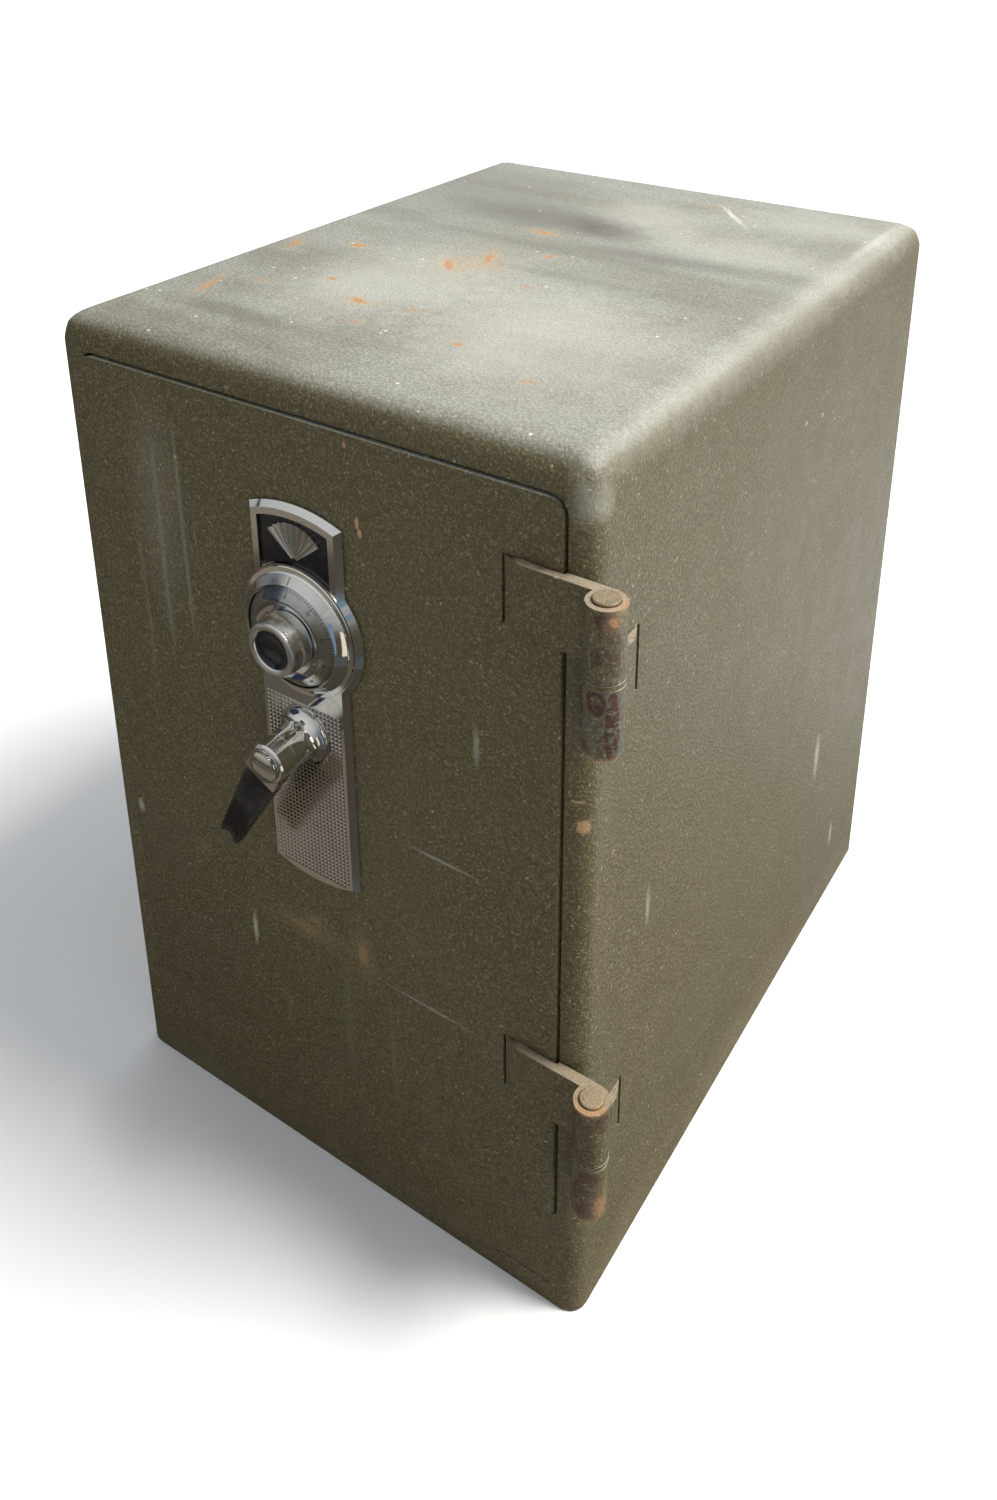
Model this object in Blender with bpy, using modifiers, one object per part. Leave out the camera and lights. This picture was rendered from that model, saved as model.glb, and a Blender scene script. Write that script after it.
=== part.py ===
"""Small fire-resistant safe with a dial lock, a lever handle and a door on two knuckle hinges.

Metres, +Z up, the front faces -Y. The origin is the centre of the base, on the floor.
The door is closed, its bolts are drawn back and the handle's lever hangs 29 degrees to the left.
"""
import math

import bmesh
import bpy
from mathutils import Matrix, Vector

# Driving dimensions of the body
BODY_WIDTH = 0.440
BODY_DEPTH = 0.562
BODY_HEIGHT = 0.682
SKIN = 0.003
TOP_RADIUS = 0.020
FRONT_RADIUS = 0.014
BACK_RADIUS = 0.005
GAP = 0.0003

# Door leaf, as seen from the front, and the gap around it
DOOR_LEFT = -0.1941
DOOR_RIGHT = 0.2001
DOOR_BOTTOM = 0.0948
DOOR_TOP = 0.6557
DOOR_GAP = 0.0020
DOOR_PROUD = 0.0025
DOOR_PAN_DEPTH = 0.012
DOOR_CORNER = 0.011
PLUG_INSET = 0.0221
PLUG_DEPTH = 0.049

# Door frame behind the front sheet, and the lined compartment
STEP_BEHIND = 0.0115
FRAME_LIP = 0.0141
LIP_BACK = -0.2175
LINER_BEND = -0.184
LINER_SHEET = 0.0015
ROOM_HALF_WIDTH = 0.178
ROOM_TOP = 0.640
ROOM_BACK = 0.236
SHELF_HEIGHT = 0.3723

# Hinges: one vertical axis at the front right corner
HINGE_X = 0.234
HINGE_OUT = 0.0126
HINGE_TOPS = {"upper": 0.6112, "lower": 0.2412}
KNUCKLE_RADIUS = 0.012
KNUCKLE_HEIGHT = 0.0466
KNUCKLE_BORE = 0.0084
PIN_RADIUS = 0.0081
WASHER_HEIGHT = 0.0046
LEAF_DROP = 0.005

# Lock plate, dial and handle share one vertical centre line
LOCK_X = 0.0015
DIAL_Z = 0.5035
HANDLE_Z = 0.4220
PLATE_HALF_WIDTH = 0.0390
PLATE_BOTTOM = 0.2930
PLATE_TOP = 0.5960
PLATE_ARC = 0.105
PLATE_BULGE = 0.0527
PLATE_BEVEL = 0.0038
PLATE_BACK = 0.0028
PLATE_FACE = 0.0080
LEVER_ANGLE = math.radians(29)
LEVER_LENGTH = 0.0936
CRANK_RADIUS = 0.0268

# Boltwork inside the door
BOLT_THROW = 0.026
BOLT_RADIUS = 0.009
BOLT_Y = -0.205
BOLT_TIP_X = -0.166
BOLT_HEIGHTS = (0.235, 0.375, 0.515)
BAR_X = -0.130
COVER_LOW = (-0.160, -0.2221, 0.175)
COVER_HIGH = (0.140, -0.188, 0.575)
COVER_SHEET = 0.0012
COVER_SCREWS = ((-0.120, 0.169), (0.100, 0.169), (-0.120, 0.581), (0.100, 0.581))
LOCK_BOLT_X = LOCK_X - 0.026
WHEEL_RADIUS = 0.022
WHEEL_FRONTS = (-0.2170, -0.2136, -0.2102)
WHEEL_THICKNESS = 0.0024

FRONT = -BODY_DEPTH / 2
PAN_BACK = FRONT - DOOR_PROUD + DOOR_PAN_DEPTH
PLUG_BACK = PAN_BACK + PLUG_DEPTH
HINGE_Y = FRONT - HINGE_OUT
LOW, HIGH = 0, 1

COLOURS = {
    "paint": ((0.105, 0.095, 0.065, 1), 0.55, 0.3),
    "liner_paint": ((0.30, 0.30, 0.27, 1), 0.5, 0.0),
    "steel": ((0.42, 0.41, 0.39, 1), 0.4, 1.0),
    "fill": ((0.62, 0.60, 0.55, 1), 0.95, 0.0),
    "chrome": ((0.78, 0.77, 0.74, 1), 0.12, 1.0),
    "satin": ((0.70, 0.69, 0.66, 1), 0.3, 1.0),
    "brass": ((0.65, 0.50, 0.25, 1), 0.35, 1.0),
    "black": ((0.02, 0.02, 0.022, 1), 0.45, 0.0),
}

for old in list(bpy.data.objects):
    bpy.data.objects.remove(old, do_unlink=True)


def new_collection(name):
    collection = bpy.data.collections.new(name)
    bpy.context.scene.collection.children.link(collection)
    return collection


SAFE = new_collection("safe")
CUTTERS = new_collection("cutters")
MATERIALS = {}


def material(kind):
    if kind not in MATERIALS:
        colour, roughness, metallic = COLOURS[kind]
        made = bpy.data.materials.new(kind)
        made.use_nodes = True
        shader = made.node_tree.nodes["Principled BSDF"]
        shader.inputs["Base Color"].default_value = colour
        shader.inputs["Roughness"].default_value = roughness
        shader.inputs["Metallic"].default_value = metallic
        MATERIALS[kind] = made
    return MATERIALS[kind]


def add_object(name, data, kind):
    """Link an object as a part, or as a cutter when it has no material kind."""
    made = bpy.data.objects.new(name, data)
    if kind is None:
        CUTTERS.objects.link(made)
        made.hide_render = True
        made.display_type = "WIRE"
    else:
        SAFE.objects.link(made)
        data.materials.append(material(kind))
    return made


def finish_mesh(name, work, kind):
    data = bpy.data.meshes.new(name)
    work.to_mesh(data)
    work.free()
    return add_object(name, data, kind)


def block(name, low, high, kind=None, rounded=(), segments=4):
    """A box. rounded lists (axis, test, radius) for its edges that run along an axis."""
    low, high = Vector(low), Vector(high)
    work = bmesh.new()
    size = Matrix.Diagonal((*(high - low), 1))
    bmesh.ops.create_cube(work, size=1, matrix=Matrix.Translation((low + high) / 2) @ size)
    made_weights = work.edges.layers.float.new("bevel_weight_edge")
    widest = max((radius for _, _, radius in rounded), default=0)
    for edge in work.edges:
        middle = (edge.verts[0].co + edge.verts[1].co) / 2
        along = edge.verts[1].co - edge.verts[0].co
        for axis, test, radius in rounded:
            if abs(along[axis]) > 1e-6 and test(middle):
                edge[made_weights] = radius / widest
    made = finish_mesh(name, work, kind)
    if widest:
        bevel = made.modifiers.new("rounding", "BEVEL")
        bevel.limit_method = "WEIGHT"
        bevel.width = widest
        bevel.segments = segments
        bevel.use_clamp_overlap = True
    return made


def rod(name, start, end, radius, kind=None, steps=32, tip=0.0):
    """A cylinder from start to end. tip chamfers its start."""
    start, end = Vector(start), Vector(end)
    along = end - start
    work = bmesh.new()
    turn = along.to_track_quat("Z", "Y").to_matrix().to_4x4()
    bmesh.ops.create_cone(work, cap_ends=True, segments=steps, radius1=radius, radius2=radius,
                          depth=along.length, matrix=Matrix.Translation((start + end) / 2) @ turn)
    if tip:
        rim = [edge for edge in work.edges
               if all(abs((vert.co - start).dot(along.normalized())) < 1e-6 for vert in edge.verts)]
        bmesh.ops.bevel(work, geom=rim, offset=tip, segments=1, profile=0.5, affect="EDGES")
    return smooth(finish_mesh(name, work, kind))


def turned(name, place, profile, kind=None, steps=48, upright=False):
    """A turned piece: (radius, height) points, heights toward the front or, upright, toward +Z.

    The points run down the outer side. A profile that leaves the axis open is closed into a ring.
    """
    work = bmesh.new()
    points = [work.verts.new((radius, 0, height)) for radius, height in profile]
    for first, second in zip(points, points[1:]):
        work.edges.new((first, second))
    if profile[0][0] > 0:
        work.edges.new((points[-1], points[0]))
    made = finish_mesh(name, work, kind)
    screw = made.modifiers.new("turn", "SCREW")
    screw.steps = screw.render_steps = steps
    screw.use_merge_vertices = True
    screw.merge_threshold = 0.00001
    screw.use_smooth_shade = False
    made.location = place
    if not upright:
        made.rotation_euler = (math.pi / 2, 0, 0)
    return made


def outline(name, points, low, high, kind=None, plan=False):
    """A flat outline given thickness: (x, z) points between two y, or in plan (x, y) between two z."""
    curve = bpy.data.curves.new(name, "CURVE")
    curve.dimensions = "2D"
    curve.fill_mode = "BOTH"
    curve.extrude = (high - low) / 2
    line = curve.splines.new("POLY")
    line.points.add(len(points) - 1)
    for point, (across, up) in zip(line.points, points):
        point.co = (across, up, 0, 1)
    line.use_cyclic_u = True
    guide = bpy.data.objects.new(name + "_curve", curve)
    CUTTERS.objects.link(guide)
    bpy.context.view_layer.update()
    flat = bpy.data.meshes.new_from_object(guide.evaluated_get(bpy.context.evaluated_depsgraph_get()))
    bpy.data.objects.remove(guide, do_unlink=True)
    middle = (low + high) / 2
    if plan:
        turn = Matrix.Translation((0, 0, middle))
    else:
        turn = Matrix.Translation((0, middle, 0)) @ Matrix.Rotation(math.pi / 2, 4, "X")
    work = bmesh.new()
    work.from_mesh(flat)
    bpy.data.meshes.remove(flat)
    bmesh.ops.transform(work, matrix=turn, verts=work.verts)
    bmesh.ops.remove_doubles(work, verts=work.verts, dist=0.000001)
    bmesh.ops.dissolve_limit(work, angle_limit=0.001, verts=work.verts, edges=work.edges)
    bmesh.ops.recalc_face_normals(work, faces=work.faces)
    return finish_mesh(name, work, kind)


def chamfer_front(made, width, segments=1):
    """Chamfer the edges of an outline's front face, the one with the lowest y."""
    work = bmesh.new()
    work.from_mesh(made.data)
    front = min(vert.co.y for vert in work.verts)
    rim = [edge for edge in work.edges if all(abs(vert.co.y - front) < 1e-6 for vert in edge.verts)]
    bmesh.ops.bevel(work, geom=rim, offset=width, segments=segments, profile=0.5, affect="EDGES")
    work.to_mesh(made.data)
    work.free()


def smooth(made):
    made.data.shade_smooth()
    made.data.set_sharp_from_angle(angle=math.radians(35))
    return made


def combine(target, tool, operation, solver="EXACT"):
    step = target.modifiers.new(tool.name, "BOOLEAN")
    step.operation = operation
    step.object = tool
    step.solver = solver
    return target


def cut(target, *tools):
    for tool in tools:
        combine(target, tool, "DIFFERENCE")
    return target


def join(target, *tools):
    for tool in tools:
        combine(target, tool, "UNION")
    return target


def arc(centre, radius, start, end, steps):
    """Points of an arc. Angles in radians from +X, turning toward the second axis."""
    turns = [start + (end - start) * step / steps for step in range(steps + 1)]
    return [(centre[0] + radius * math.cos(turn), centre[1] + radius * math.sin(turn)) for turn in turns]


def out(distance):
    """The y of a plane this far in front of the body's front face."""
    return FRONT - distance


def grown(low, high, by):
    """The same box, larger by a margin on every side."""
    return [value - by for value in low], [value + by for value in high]


def is_top(limit):
    return lambda middle: middle.z > limit


def is_bottom(limit):
    return lambda middle: middle.z < limit


def is_front(middle):
    return middle.y < 0


def is_skin_front(middle):
    return middle.y < out(0)


def is_back(middle):
    return middle.y > 0


def body_edges(shrink):
    """Roundings of the body's box, for a box this much smaller all around."""
    upper = is_top(BODY_HEIGHT / 2 + 0.2)
    return (
        (0, upper, TOP_RADIUS - shrink),
        (1, upper, TOP_RADIUS - shrink),
        (2, is_front, FRONT_RADIUS - shrink),
        (2, is_back, max(BACK_RADIUS - shrink, 0.001)),
    )


def door_corners(grow):
    middle = (DOOR_BOTTOM + DOOR_TOP) / 2
    return ((1, is_top(middle), DOOR_CORNER + grow), (1, is_bottom(middle), 0.003 + grow))


def door_box(grow, near, far):
    """The door leaf's outline grown by a margin, between two y planes."""
    low = (DOOR_LEFT - grow, near, DOOR_BOTTOM - grow)
    high = (DOOR_RIGHT + grow, far, DOOR_TOP + grow)
    return low, high


def plug_box(shrink, near, far):
    """The plug behind the door leaf, shrunk by a margin, between two y planes."""
    inset = PLUG_INSET + shrink
    low = (DOOR_LEFT + inset, near, DOOR_BOTTOM + inset - 0.0038)
    high = (DOOR_RIGHT - inset, far, DOOR_TOP - inset + 0.0038)
    return low, high


def lip_box(grow, near, far):
    """The clear opening inside the frame's lip."""
    inset = FRAME_LIP - grow
    edge = door_box(DOOR_GAP, near, far)
    low = (edge[LOW][0] + inset, near, edge[LOW][2] + inset)
    high = (edge[HIGH][0] - inset, far, edge[HIGH][2] - inset)
    return low, high


def hinge_bottom(top):
    return top - 2 * KNUCKLE_HEIGHT - WASHER_HEIGHT - 2 * GAP


def leaf_heights(top):
    bottom = hinge_bottom(top) - LEAF_DROP
    return bottom, bottom + KNUCKLE_HEIGHT


def make_body():
    half = BODY_WIDTH / 2
    inside = half - SKIN
    outer = (-half, FRONT, 0), (half, -FRONT, BODY_HEIGHT)
    shell = block("body_shell", *outer, "paint", body_edges(0), 5)
    hollow = (-inside, FRONT + SKIN, -0.01), (inside, -FRONT - SKIN, BODY_HEIGHT - SKIN)
    combine(shell, block("shell_hollow", *hollow, None, body_edges(SKIN), 5), "DIFFERENCE", "MANIFOLD")
    opening = door_box(DOOR_GAP, FRONT - 0.01, FRONT + 0.01)
    combine(shell, block("door_opening", *opening, None, door_corners(DOOR_GAP)), "DIFFERENCE", "MANIFOLD")
    back_low, back_high = (-0.19, 0.27, 0.03), (0.19, 0.29, 0.64)
    panel_corners = ((1, lambda middle: True, 0.010),)
    combine(shell, block("back_opening", back_low, back_high, None, panel_corners), "DIFFERENCE", "MANIFOLD")
    for place, top in HINGE_TOPS.items():
        bottom, upper = leaf_heights(top)
        slot = (0.21, -0.2480, bottom - 0.0004), (0.23, -0.2262, upper + 0.0004)
        combine(shell, block("leaf_slot_" + place, *slot), "DIFFERENCE", "MANIFOLD")
    panel_low = (back_low[0] + 0.0004, 0.2783, back_low[2] + 0.0004)
    panel_high = (back_high[0] - 0.0004, 0.2808, back_high[2] - 0.0004)
    block("back_panel", panel_low, panel_high, "paint", ((1, lambda middle: True, 0.0096),))
    pan_edges = ((2, is_front, 0.0108), (2, is_back, 0.003))
    edge = inside - GAP
    depth = -FRONT - SKIN - GAP
    block("base_pan", (-edge, -depth, 0), (edge, depth, SKIN), "steel", pan_edges)
    fill = (-edge, -depth, SKIN + GAP), (edge, depth, BODY_HEIGHT - SKIN - GAP)
    insulation = block("body_insulation", *fill, "fill", body_edges(SKIN + GAP), 3)
    frame_room = door_box(DOOR_GAP + SKIN + 0.0007, FRONT - 0.02, LIP_BACK + GAP)
    cut(insulation, block("frame_room", *frame_room))
    wide, deep = liner_boxes(LINER_SHEET + GAP)
    cut(insulation, block("liner_room_wide", *wide), block("liner_room_deep", *deep))
    for place, top in HINGE_TOPS.items():
        bottom, upper = leaf_heights(top)
        pocket = (0.2108, -0.2500, bottom - 0.0004), (0.23, -0.1890, upper + 0.0004)
        cut(insulation, block("tongue_room_" + place, *pocket))


def liner_boxes(grow):
    """The lined room: a wide pocket for the bolts in front, and the deep compartment behind it."""
    lip = lip_box(0, 0, 0)
    floor = lip[LOW][2]
    wide_low = (lip[LOW][0] - 0.014 - grow, LIP_BACK, floor - grow)
    wide_high = (lip[HIGH][0] + 0.014 + grow, LINER_BEND - LINER_SHEET + grow, lip[HIGH][2] + grow)
    deep_low = (-ROOM_HALF_WIDTH - grow, LIP_BACK, floor - grow)
    deep_high = (ROOM_HALF_WIDTH + grow, ROOM_BACK + grow, ROOM_TOP + grow)
    return (wide_low, wide_high), (deep_low, deep_high)


def make_frame():
    step_y = FRONT + STEP_BEHIND
    rim = door_box(DOOR_GAP + SKIN, FRONT + SKIN + GAP, step_y + SKIN)
    frame = block("door_frame", *rim, "paint")
    join(frame, block("frame_lip", *lip_box(SKIN, step_y + 0.001, LIP_BACK)))
    rebate = door_box(DOOR_GAP, FRONT - 0.02, step_y)
    cut(frame, block("frame_rebate", *rebate, None, door_corners(DOOR_GAP)))
    cut(frame, block("frame_way", *lip_box(0, FRONT - 0.02, LIP_BACK + 0.02)))


def make_liner():
    (wide_low, wide_high), (deep_low, deep_high) = liner_boxes(LINER_SHEET)
    front = LIP_BACK + GAP
    wide = (wide_low[0], front, wide_low[2]), wide_high
    deep = (deep_low[0], front + 0.01, deep_low[2]), deep_high
    liner = join(block("inner_liner", *wide, "liner_paint"), block("liner_deep", *deep))
    (wide_low, wide_high), (deep_low, deep_high) = liner_boxes(0)
    wide_low = (wide_low[0], front - 0.02, wide_low[2])
    deep_low = (deep_low[0], front - 0.02, deep_low[2])
    cut(liner, block("liner_pocket", wide_low, wide_high), block("liner_hollow", deep_low, deep_high))


def make_shelf():
    wall = ROOM_HALF_WIDTH - GAP
    top = SHELF_HEIGHT - GAP
    for side, name in ((-1, "shelf_rail_left"), (1, "shelf_rail_right")):
        corner = [(wall, top - 0.020), (wall - 0.0015, top - 0.020), (wall - 0.0015, top - 0.0015),
                  (wall - 0.018, top - 0.0015), (wall - 0.018, top), (wall, top)]
        outline(name, [(side * across, up) for across, up in corner], -0.1655, 0.228, "steel")
    edge = ROOM_HALF_WIDTH - 0.0015
    near, far = -0.168, 0.2335
    shelf = block("shelf", (-edge, near, SHELF_HEIGHT), (edge, far, SHELF_HEIGHT + 0.0015), "liner_paint")
    lip_top = SHELF_HEIGHT + 0.0010
    front_lip = (-edge, near, SHELF_HEIGHT - 0.020), (edge, near + 0.0015, lip_top)
    back_lip = (-edge, far - 0.0015, SHELF_HEIGHT - 0.020), (edge, far, lip_top)
    join(shelf, block("shelf_front_lip", *front_lip), block("shelf_back_lip", *back_lip))


def make_badge():
    """The blank obround plate low on the front, at the hinge side."""
    middle, up, half_run, radius = 0.1770, 0.0135, 0.0200, 0.0060
    ends = arc((middle + half_run, up), radius, -math.pi / 2, math.pi / 2, 8)
    ends += arc((middle - half_run, up), radius, math.pi / 2, 1.5 * math.pi, 8)
    badge = outline("badge_plate", ends, out(0.0011), out(GAP), "paint")
    chamfer_front(badge, 0.0004)


def strap_outline():
    """The door strap in plan: a tongue behind the skin, up through its slot and out to the knuckle."""
    points = [(0.118, -0.0008), (0.1600, -0.0008), (0.1612, 0.0020), (0.1745, 0.0083),
              (HINGE_X, 0.0083), (HINGE_X, 0.0006), (0.2024, 0.0006), (0.2019, 0.0028),
              (0.1787, 0.0028), (0.1700, -0.0058), (0.118, -0.0058)]
    return [(across, out(distance)) for across, distance in points]


def leaf_outline():
    """The body leaf in plan: from its knuckle back along the side and in through its slot."""
    face, outer = 0.2203, 0.2257
    return [(outer, HINGE_Y), (outer, -0.2430), (0.2204, -0.2300), (0.2166, -0.2270),
            (0.2166, -0.1900), (0.2112, -0.1900), (0.2112, -0.2360), (face, -0.2475), (face, HINGE_Y)]


def make_hinge(place, top):
    axis = (HINGE_X, HINGE_Y)
    strap_low = top - KNUCKLE_HEIGHT
    strap = outline("hinge_strap_" + place, strap_outline(), strap_low, top, "paint", plan=True)
    join(strap, rod("strap_knuckle_" + place, (*axis, strap_low), (*axis, top), KNUCKLE_RADIUS, None, 40))
    bore = (*axis, strap_low - 0.01), (*axis, top + 0.01)
    cut(strap, rod("strap_bore_" + place, *bore, KNUCKLE_BORE))

    base = hinge_bottom(top)
    leaf_low, leaf_high = leaf_heights(top)
    knuckle_top = base + KNUCKLE_HEIGHT
    profile = [(0, 0.006), (KNUCKLE_BORE, 0.006), (KNUCKLE_BORE, KNUCKLE_HEIGHT),
               (KNUCKLE_RADIUS, KNUCKLE_HEIGHT), (KNUCKLE_RADIUS, 0.0030), (0.0114, 0.0012),
               (0.0100, 0.0002), (0, 0)]
    leaf = turned("hinge_leaf_" + place, (*axis, base), profile, "paint", 40, upright=True)
    plate = outline("leaf_plate_" + place, leaf_outline(), leaf_low, leaf_high, plan=True)
    bore = (*axis, base + 0.006), (*axis, knuckle_top + 0.01)
    cut(plate, rod("leaf_bore_" + place, *bore, KNUCKLE_BORE + 0.0005))
    join(leaf, plate)

    low, high = knuckle_top + GAP, knuckle_top + GAP + WASHER_HEIGHT
    ring = [(KNUCKLE_BORE, high), (KNUCKLE_RADIUS, high), (KNUCKLE_RADIUS, low), (KNUCKLE_BORE, low)]
    turned("hinge_washer_" + place, (*axis, 0), ring, "satin", 40, upright=True)
    head = (*axis, top + 0.0020)
    rod("hinge_pin_" + place, head, (*axis, base + 0.0063), PIN_RADIUS, "steel", 32, 0.0006)


def lock_plate_outline(inset):
    """The lock plate's outline, moved in by a margin: straight sides, arched ends, a round bulge."""
    half = PLATE_HALF_WIDTH - inset
    radius = PLATE_ARC - inset
    swing = math.asin(half / radius)
    bulge = PLATE_BULGE - inset
    turn = math.acos(half / bulge)
    up, side = math.pi / 2, math.pi
    points = arc((LOCK_X, PLATE_BOTTOM + PLATE_ARC), radius, -up - swing, -up + swing, 10)
    points += arc((LOCK_X, DIAL_Z), bulge, -turn, turn, 18)
    points += arc((LOCK_X, PLATE_TOP - PLATE_ARC), radius, up - swing, up + swing, 10)
    points += arc((LOCK_X, DIAL_Z), bulge, side - turn, side + turn, 18)
    return points


def window_outline(inset):
    """The window above the dial: arched top, straight sides, and the dial's circle below."""
    half = 0.0300 - inset
    radius = PLATE_ARC - 0.0088 - inset
    swing = math.asin(half / radius)
    circle = 0.0492 + inset
    turn = math.acos(half / circle)
    up = math.pi / 2
    points = arc((LOCK_X, DIAL_Z), circle, math.pi - turn, turn, 14)
    points += arc((LOCK_X, PLATE_TOP - PLATE_ARC), radius, up - swing, up + swing, 10)
    return points


def fan_outline():
    """A plain fluted fan with a scalloped rim, standing on a short foot."""
    foot = (LOCK_X, 0.5555)
    flutes, spread, reach = 9, math.radians(104), 0.0285
    points = [(foot[0] - 0.0045, foot[1]), (foot[0] + 0.0045, foot[1])]
    start = math.pi / 2 - spread / 2
    steps = 4 * flutes
    for step in range(steps + 1):
        turn = start + spread * step / steps
        bulge = 0.0011 * abs(math.sin(math.pi * flutes * step / steps))
        points.append((foot[0] + (reach + bulge) * math.cos(turn), foot[1] + (reach + bulge) * math.sin(turn)))
    return points


def make_lock_plate():
    plate = outline("lock_plate", lock_plate_outline(0), out(PLATE_FACE), out(PLATE_BACK), "chrome")
    chamfer_front(plate, PLATE_BEVEL)
    cut(plate, outline("window", window_outline(0), out(0.012), out(0.0048)))
    for name, height, radius in (("plate_dial_hole", DIAL_Z, 0.0062), ("plate_handle_hole", HANDLE_Z, 0.0085)):
        cut(plate, rod(name, (LOCK_X, out(0.02), height), (LOCK_X, out(-0.02), height), radius, None, 24))
    outline("window_panel", window_outline(0.0004), out(0.0059), out(0.0051), "black")
    fan = outline("fan_emblem", fan_outline(), out(0.0084), out(0.0062), "satin")
    chamfer_front(fan, 0.0006)


def make_dial_ring():
    profile = [(0.0374, 0.0152), (0.0380, 0.0152), (0.0440, 0.0102), (0.0444, 0.0092),
               (0.0476, 0.0090), (0.0480, 0.0083), (0.0374, 0.0083)]
    turned("dial_ring", (LOCK_X, FRONT, DIAL_Z), profile, "chrome", 56)
    band = [(0.0383, 0.0158), (0.0437, 0.0113), (0.0437, 0.0108), (0.0380, 0.0155)]
    segment = turned("index_segment", (LOCK_X, FRONT, DIAL_Z), band, "satin", 56)
    sector = arc((LOCK_X, DIAL_Z), 0.07, math.radians(44), math.radians(136), 8)
    sector.append((LOCK_X, DIAL_Z))
    combine(segment, outline("segment_sector", sector, out(0.02), out(0.008)), "INTERSECT")


def make_door():
    outer = door_box(0, out(DOOR_PROUD), PAN_BACK)
    front_edges = ((0, is_skin_front, 0.0014), (2, is_skin_front, 0.0014))
    skin = block("door_skin", *outer, "paint", door_corners(0) + front_edges)
    hollow = door_box(-SKIN, out(DOOR_PROUD - SKIN), PAN_BACK + 0.02)
    cut(skin, block("pan_hollow", *hollow, None, door_corners(-SKIN)))
    plug = plug_box(0.0017, out(DOOR_PROUD - SKIN) + GAP, PLUG_BACK - 0.0015 - GAP)
    insulation = block("door_insulation", *plug, "fill")
    flange = door_box(-SKIN - GAP, PAN_BACK - 0.0018, PAN_BACK - GAP)
    pan = block("door_inner_pan", *flange, "liner_paint", door_corners(-SKIN - GAP))
    join(pan, block("plug_box", *plug_box(0, PAN_BACK - 0.0010, PLUG_BACK)))
    cut(pan, block("plug_hollow", *plug_box(0.0015, PAN_BACK - 0.02, PLUG_BACK - 0.0015)))
    holes = (("dial", DIAL_Z, 0.0062, 0.0076), ("handle", HANDLE_Z, 0.0085, 0.0105))
    for name, height, narrow, wide in holes:
        through = (LOCK_X, out(0.02), height), (LOCK_X, PLUG_BACK + 0.02, height)
        cut(skin, rod(name + "_skin_hole", *through, narrow, None, 24))
        for piece in (insulation, pan):
            cut(piece, rod(name + "_hole_" + piece.name, *through, wide, None, 24))
    for place, top in HINGE_TOPS.items():
        low = top - KNUCKLE_HEIGHT
        slot = (0.1595, out(0.01), low - 0.0005), (0.1792, out(-0.0009), top + 0.0005)
        cut(skin, block("strap_slot_" + place, *slot))
        pocket = (0.1172, out(0.01), low - 0.0006), (0.19, out(-0.0064), top + 0.0006)
        cut(insulation, block("strap_room_" + place, *pocket))
    for number, (across, up) in enumerate(COVER_SCREWS, 1):
        start, end = (across, -0.150, up), (across, -0.238, up)
        cut(pan, rod(f"pan_screw_hole_{number}", start, end, 0.0024, None, 16))
        cut(insulation, rod(f"fill_screw_hole_{number}", start, end, 0.0028, None, 16))
    bar = block("dead_bar", (0.148, -0.2125, 0.200), (0.1945, -0.2085, 0.550), "steel")
    join(bar, block("dead_bar_foot", (0.148, PLUG_BACK + GAP, 0.210), (0.164, -0.2120, 0.540)))


def make_bolt_cover():
    cover = block("bolt_cover", COVER_LOW, COVER_HIGH, "liner_paint")
    flange_low = (COVER_LOW[0], COVER_LOW[1], COVER_LOW[2] - 0.012)
    flange_high = (COVER_HIGH[0], COVER_LOW[1] + COVER_SHEET, COVER_HIGH[2] + 0.012)
    join(cover, block("cover_flange", flange_low, flange_high))
    sheet = COVER_SHEET
    hollow_low = (COVER_LOW[0] + sheet, COVER_LOW[1] - 0.02, COVER_LOW[2] + sheet)
    hollow_high = [value - sheet for value in COVER_HIGH]
    cut(cover, block("cover_hollow", hollow_low, hollow_high))
    for number, up in enumerate(BOLT_HEIGHTS, 1):
        through = (COVER_LOW[0] - 0.01, BOLT_Y, up), (COVER_LOW[0] + 0.01, BOLT_Y, up)
        cut(cover, rod(f"bolt_hole_{number}", *through, BOLT_RADIUS + 0.0004, None, 28))
    for number, (across, up) in enumerate(COVER_SCREWS, 1):
        through = (across, -0.21, up), (across, -0.23, up)
        cut(cover, rod(f"cover_screw_hole_{number}", *through, 0.0024, None, 16))
        seat = -(COVER_LOW[1] + sheet + GAP)
        profile = [(0, 0.0024), (0.0030, 0.0022), (0.0041, 0.0010), (0.0041, 0), (0.0020, 0),
                   (0.0020, -0.0140), (0, -0.0150)]
        screw = turned(f"cover_screw_{number}", (across, -seat, up), profile, "steel", 16)
        screw.rotation_euler = (-math.pi / 2, 0, 0)


def make_boltwork():
    middle = LOCK_X + CRANK_RADIUS * math.sin(LEVER_ANGLE)
    carriage = block("bolt_carriage", (BAR_X, -0.214, 0.215), (BAR_X + 0.004, -0.196, 0.535), "steel")
    arm_low, arm_high = (BAR_X + 0.0038, -0.2075, 0.4335), (0.0265, -0.2045, 0.4700)
    join(carriage, block("carriage_arm", arm_low, arm_high))
    for name, centre in (("slot_rest", LOCK_BOLT_X), ("slot_thrown", LOCK_BOLT_X + BOLT_THROW)):
        cut(carriage, block(name, (centre - 0.0034, -0.22, 0.4625), (centre + 0.0034, -0.19, 0.48)))
    cut(carriage, block("pin_slot", (middle - 0.0048, -0.22, 0.4393), (middle + 0.0048, -0.19, 0.4545)))
    for number, up in enumerate(BOLT_HEIGHTS, 1):
        tip = (BOLT_TIP_X, BOLT_Y, up)
        rod(f"lock_bolt_{number}", tip, (BAR_X - GAP, BOLT_Y, up), BOLT_RADIUS, "steel", 28, 0.0015)


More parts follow.
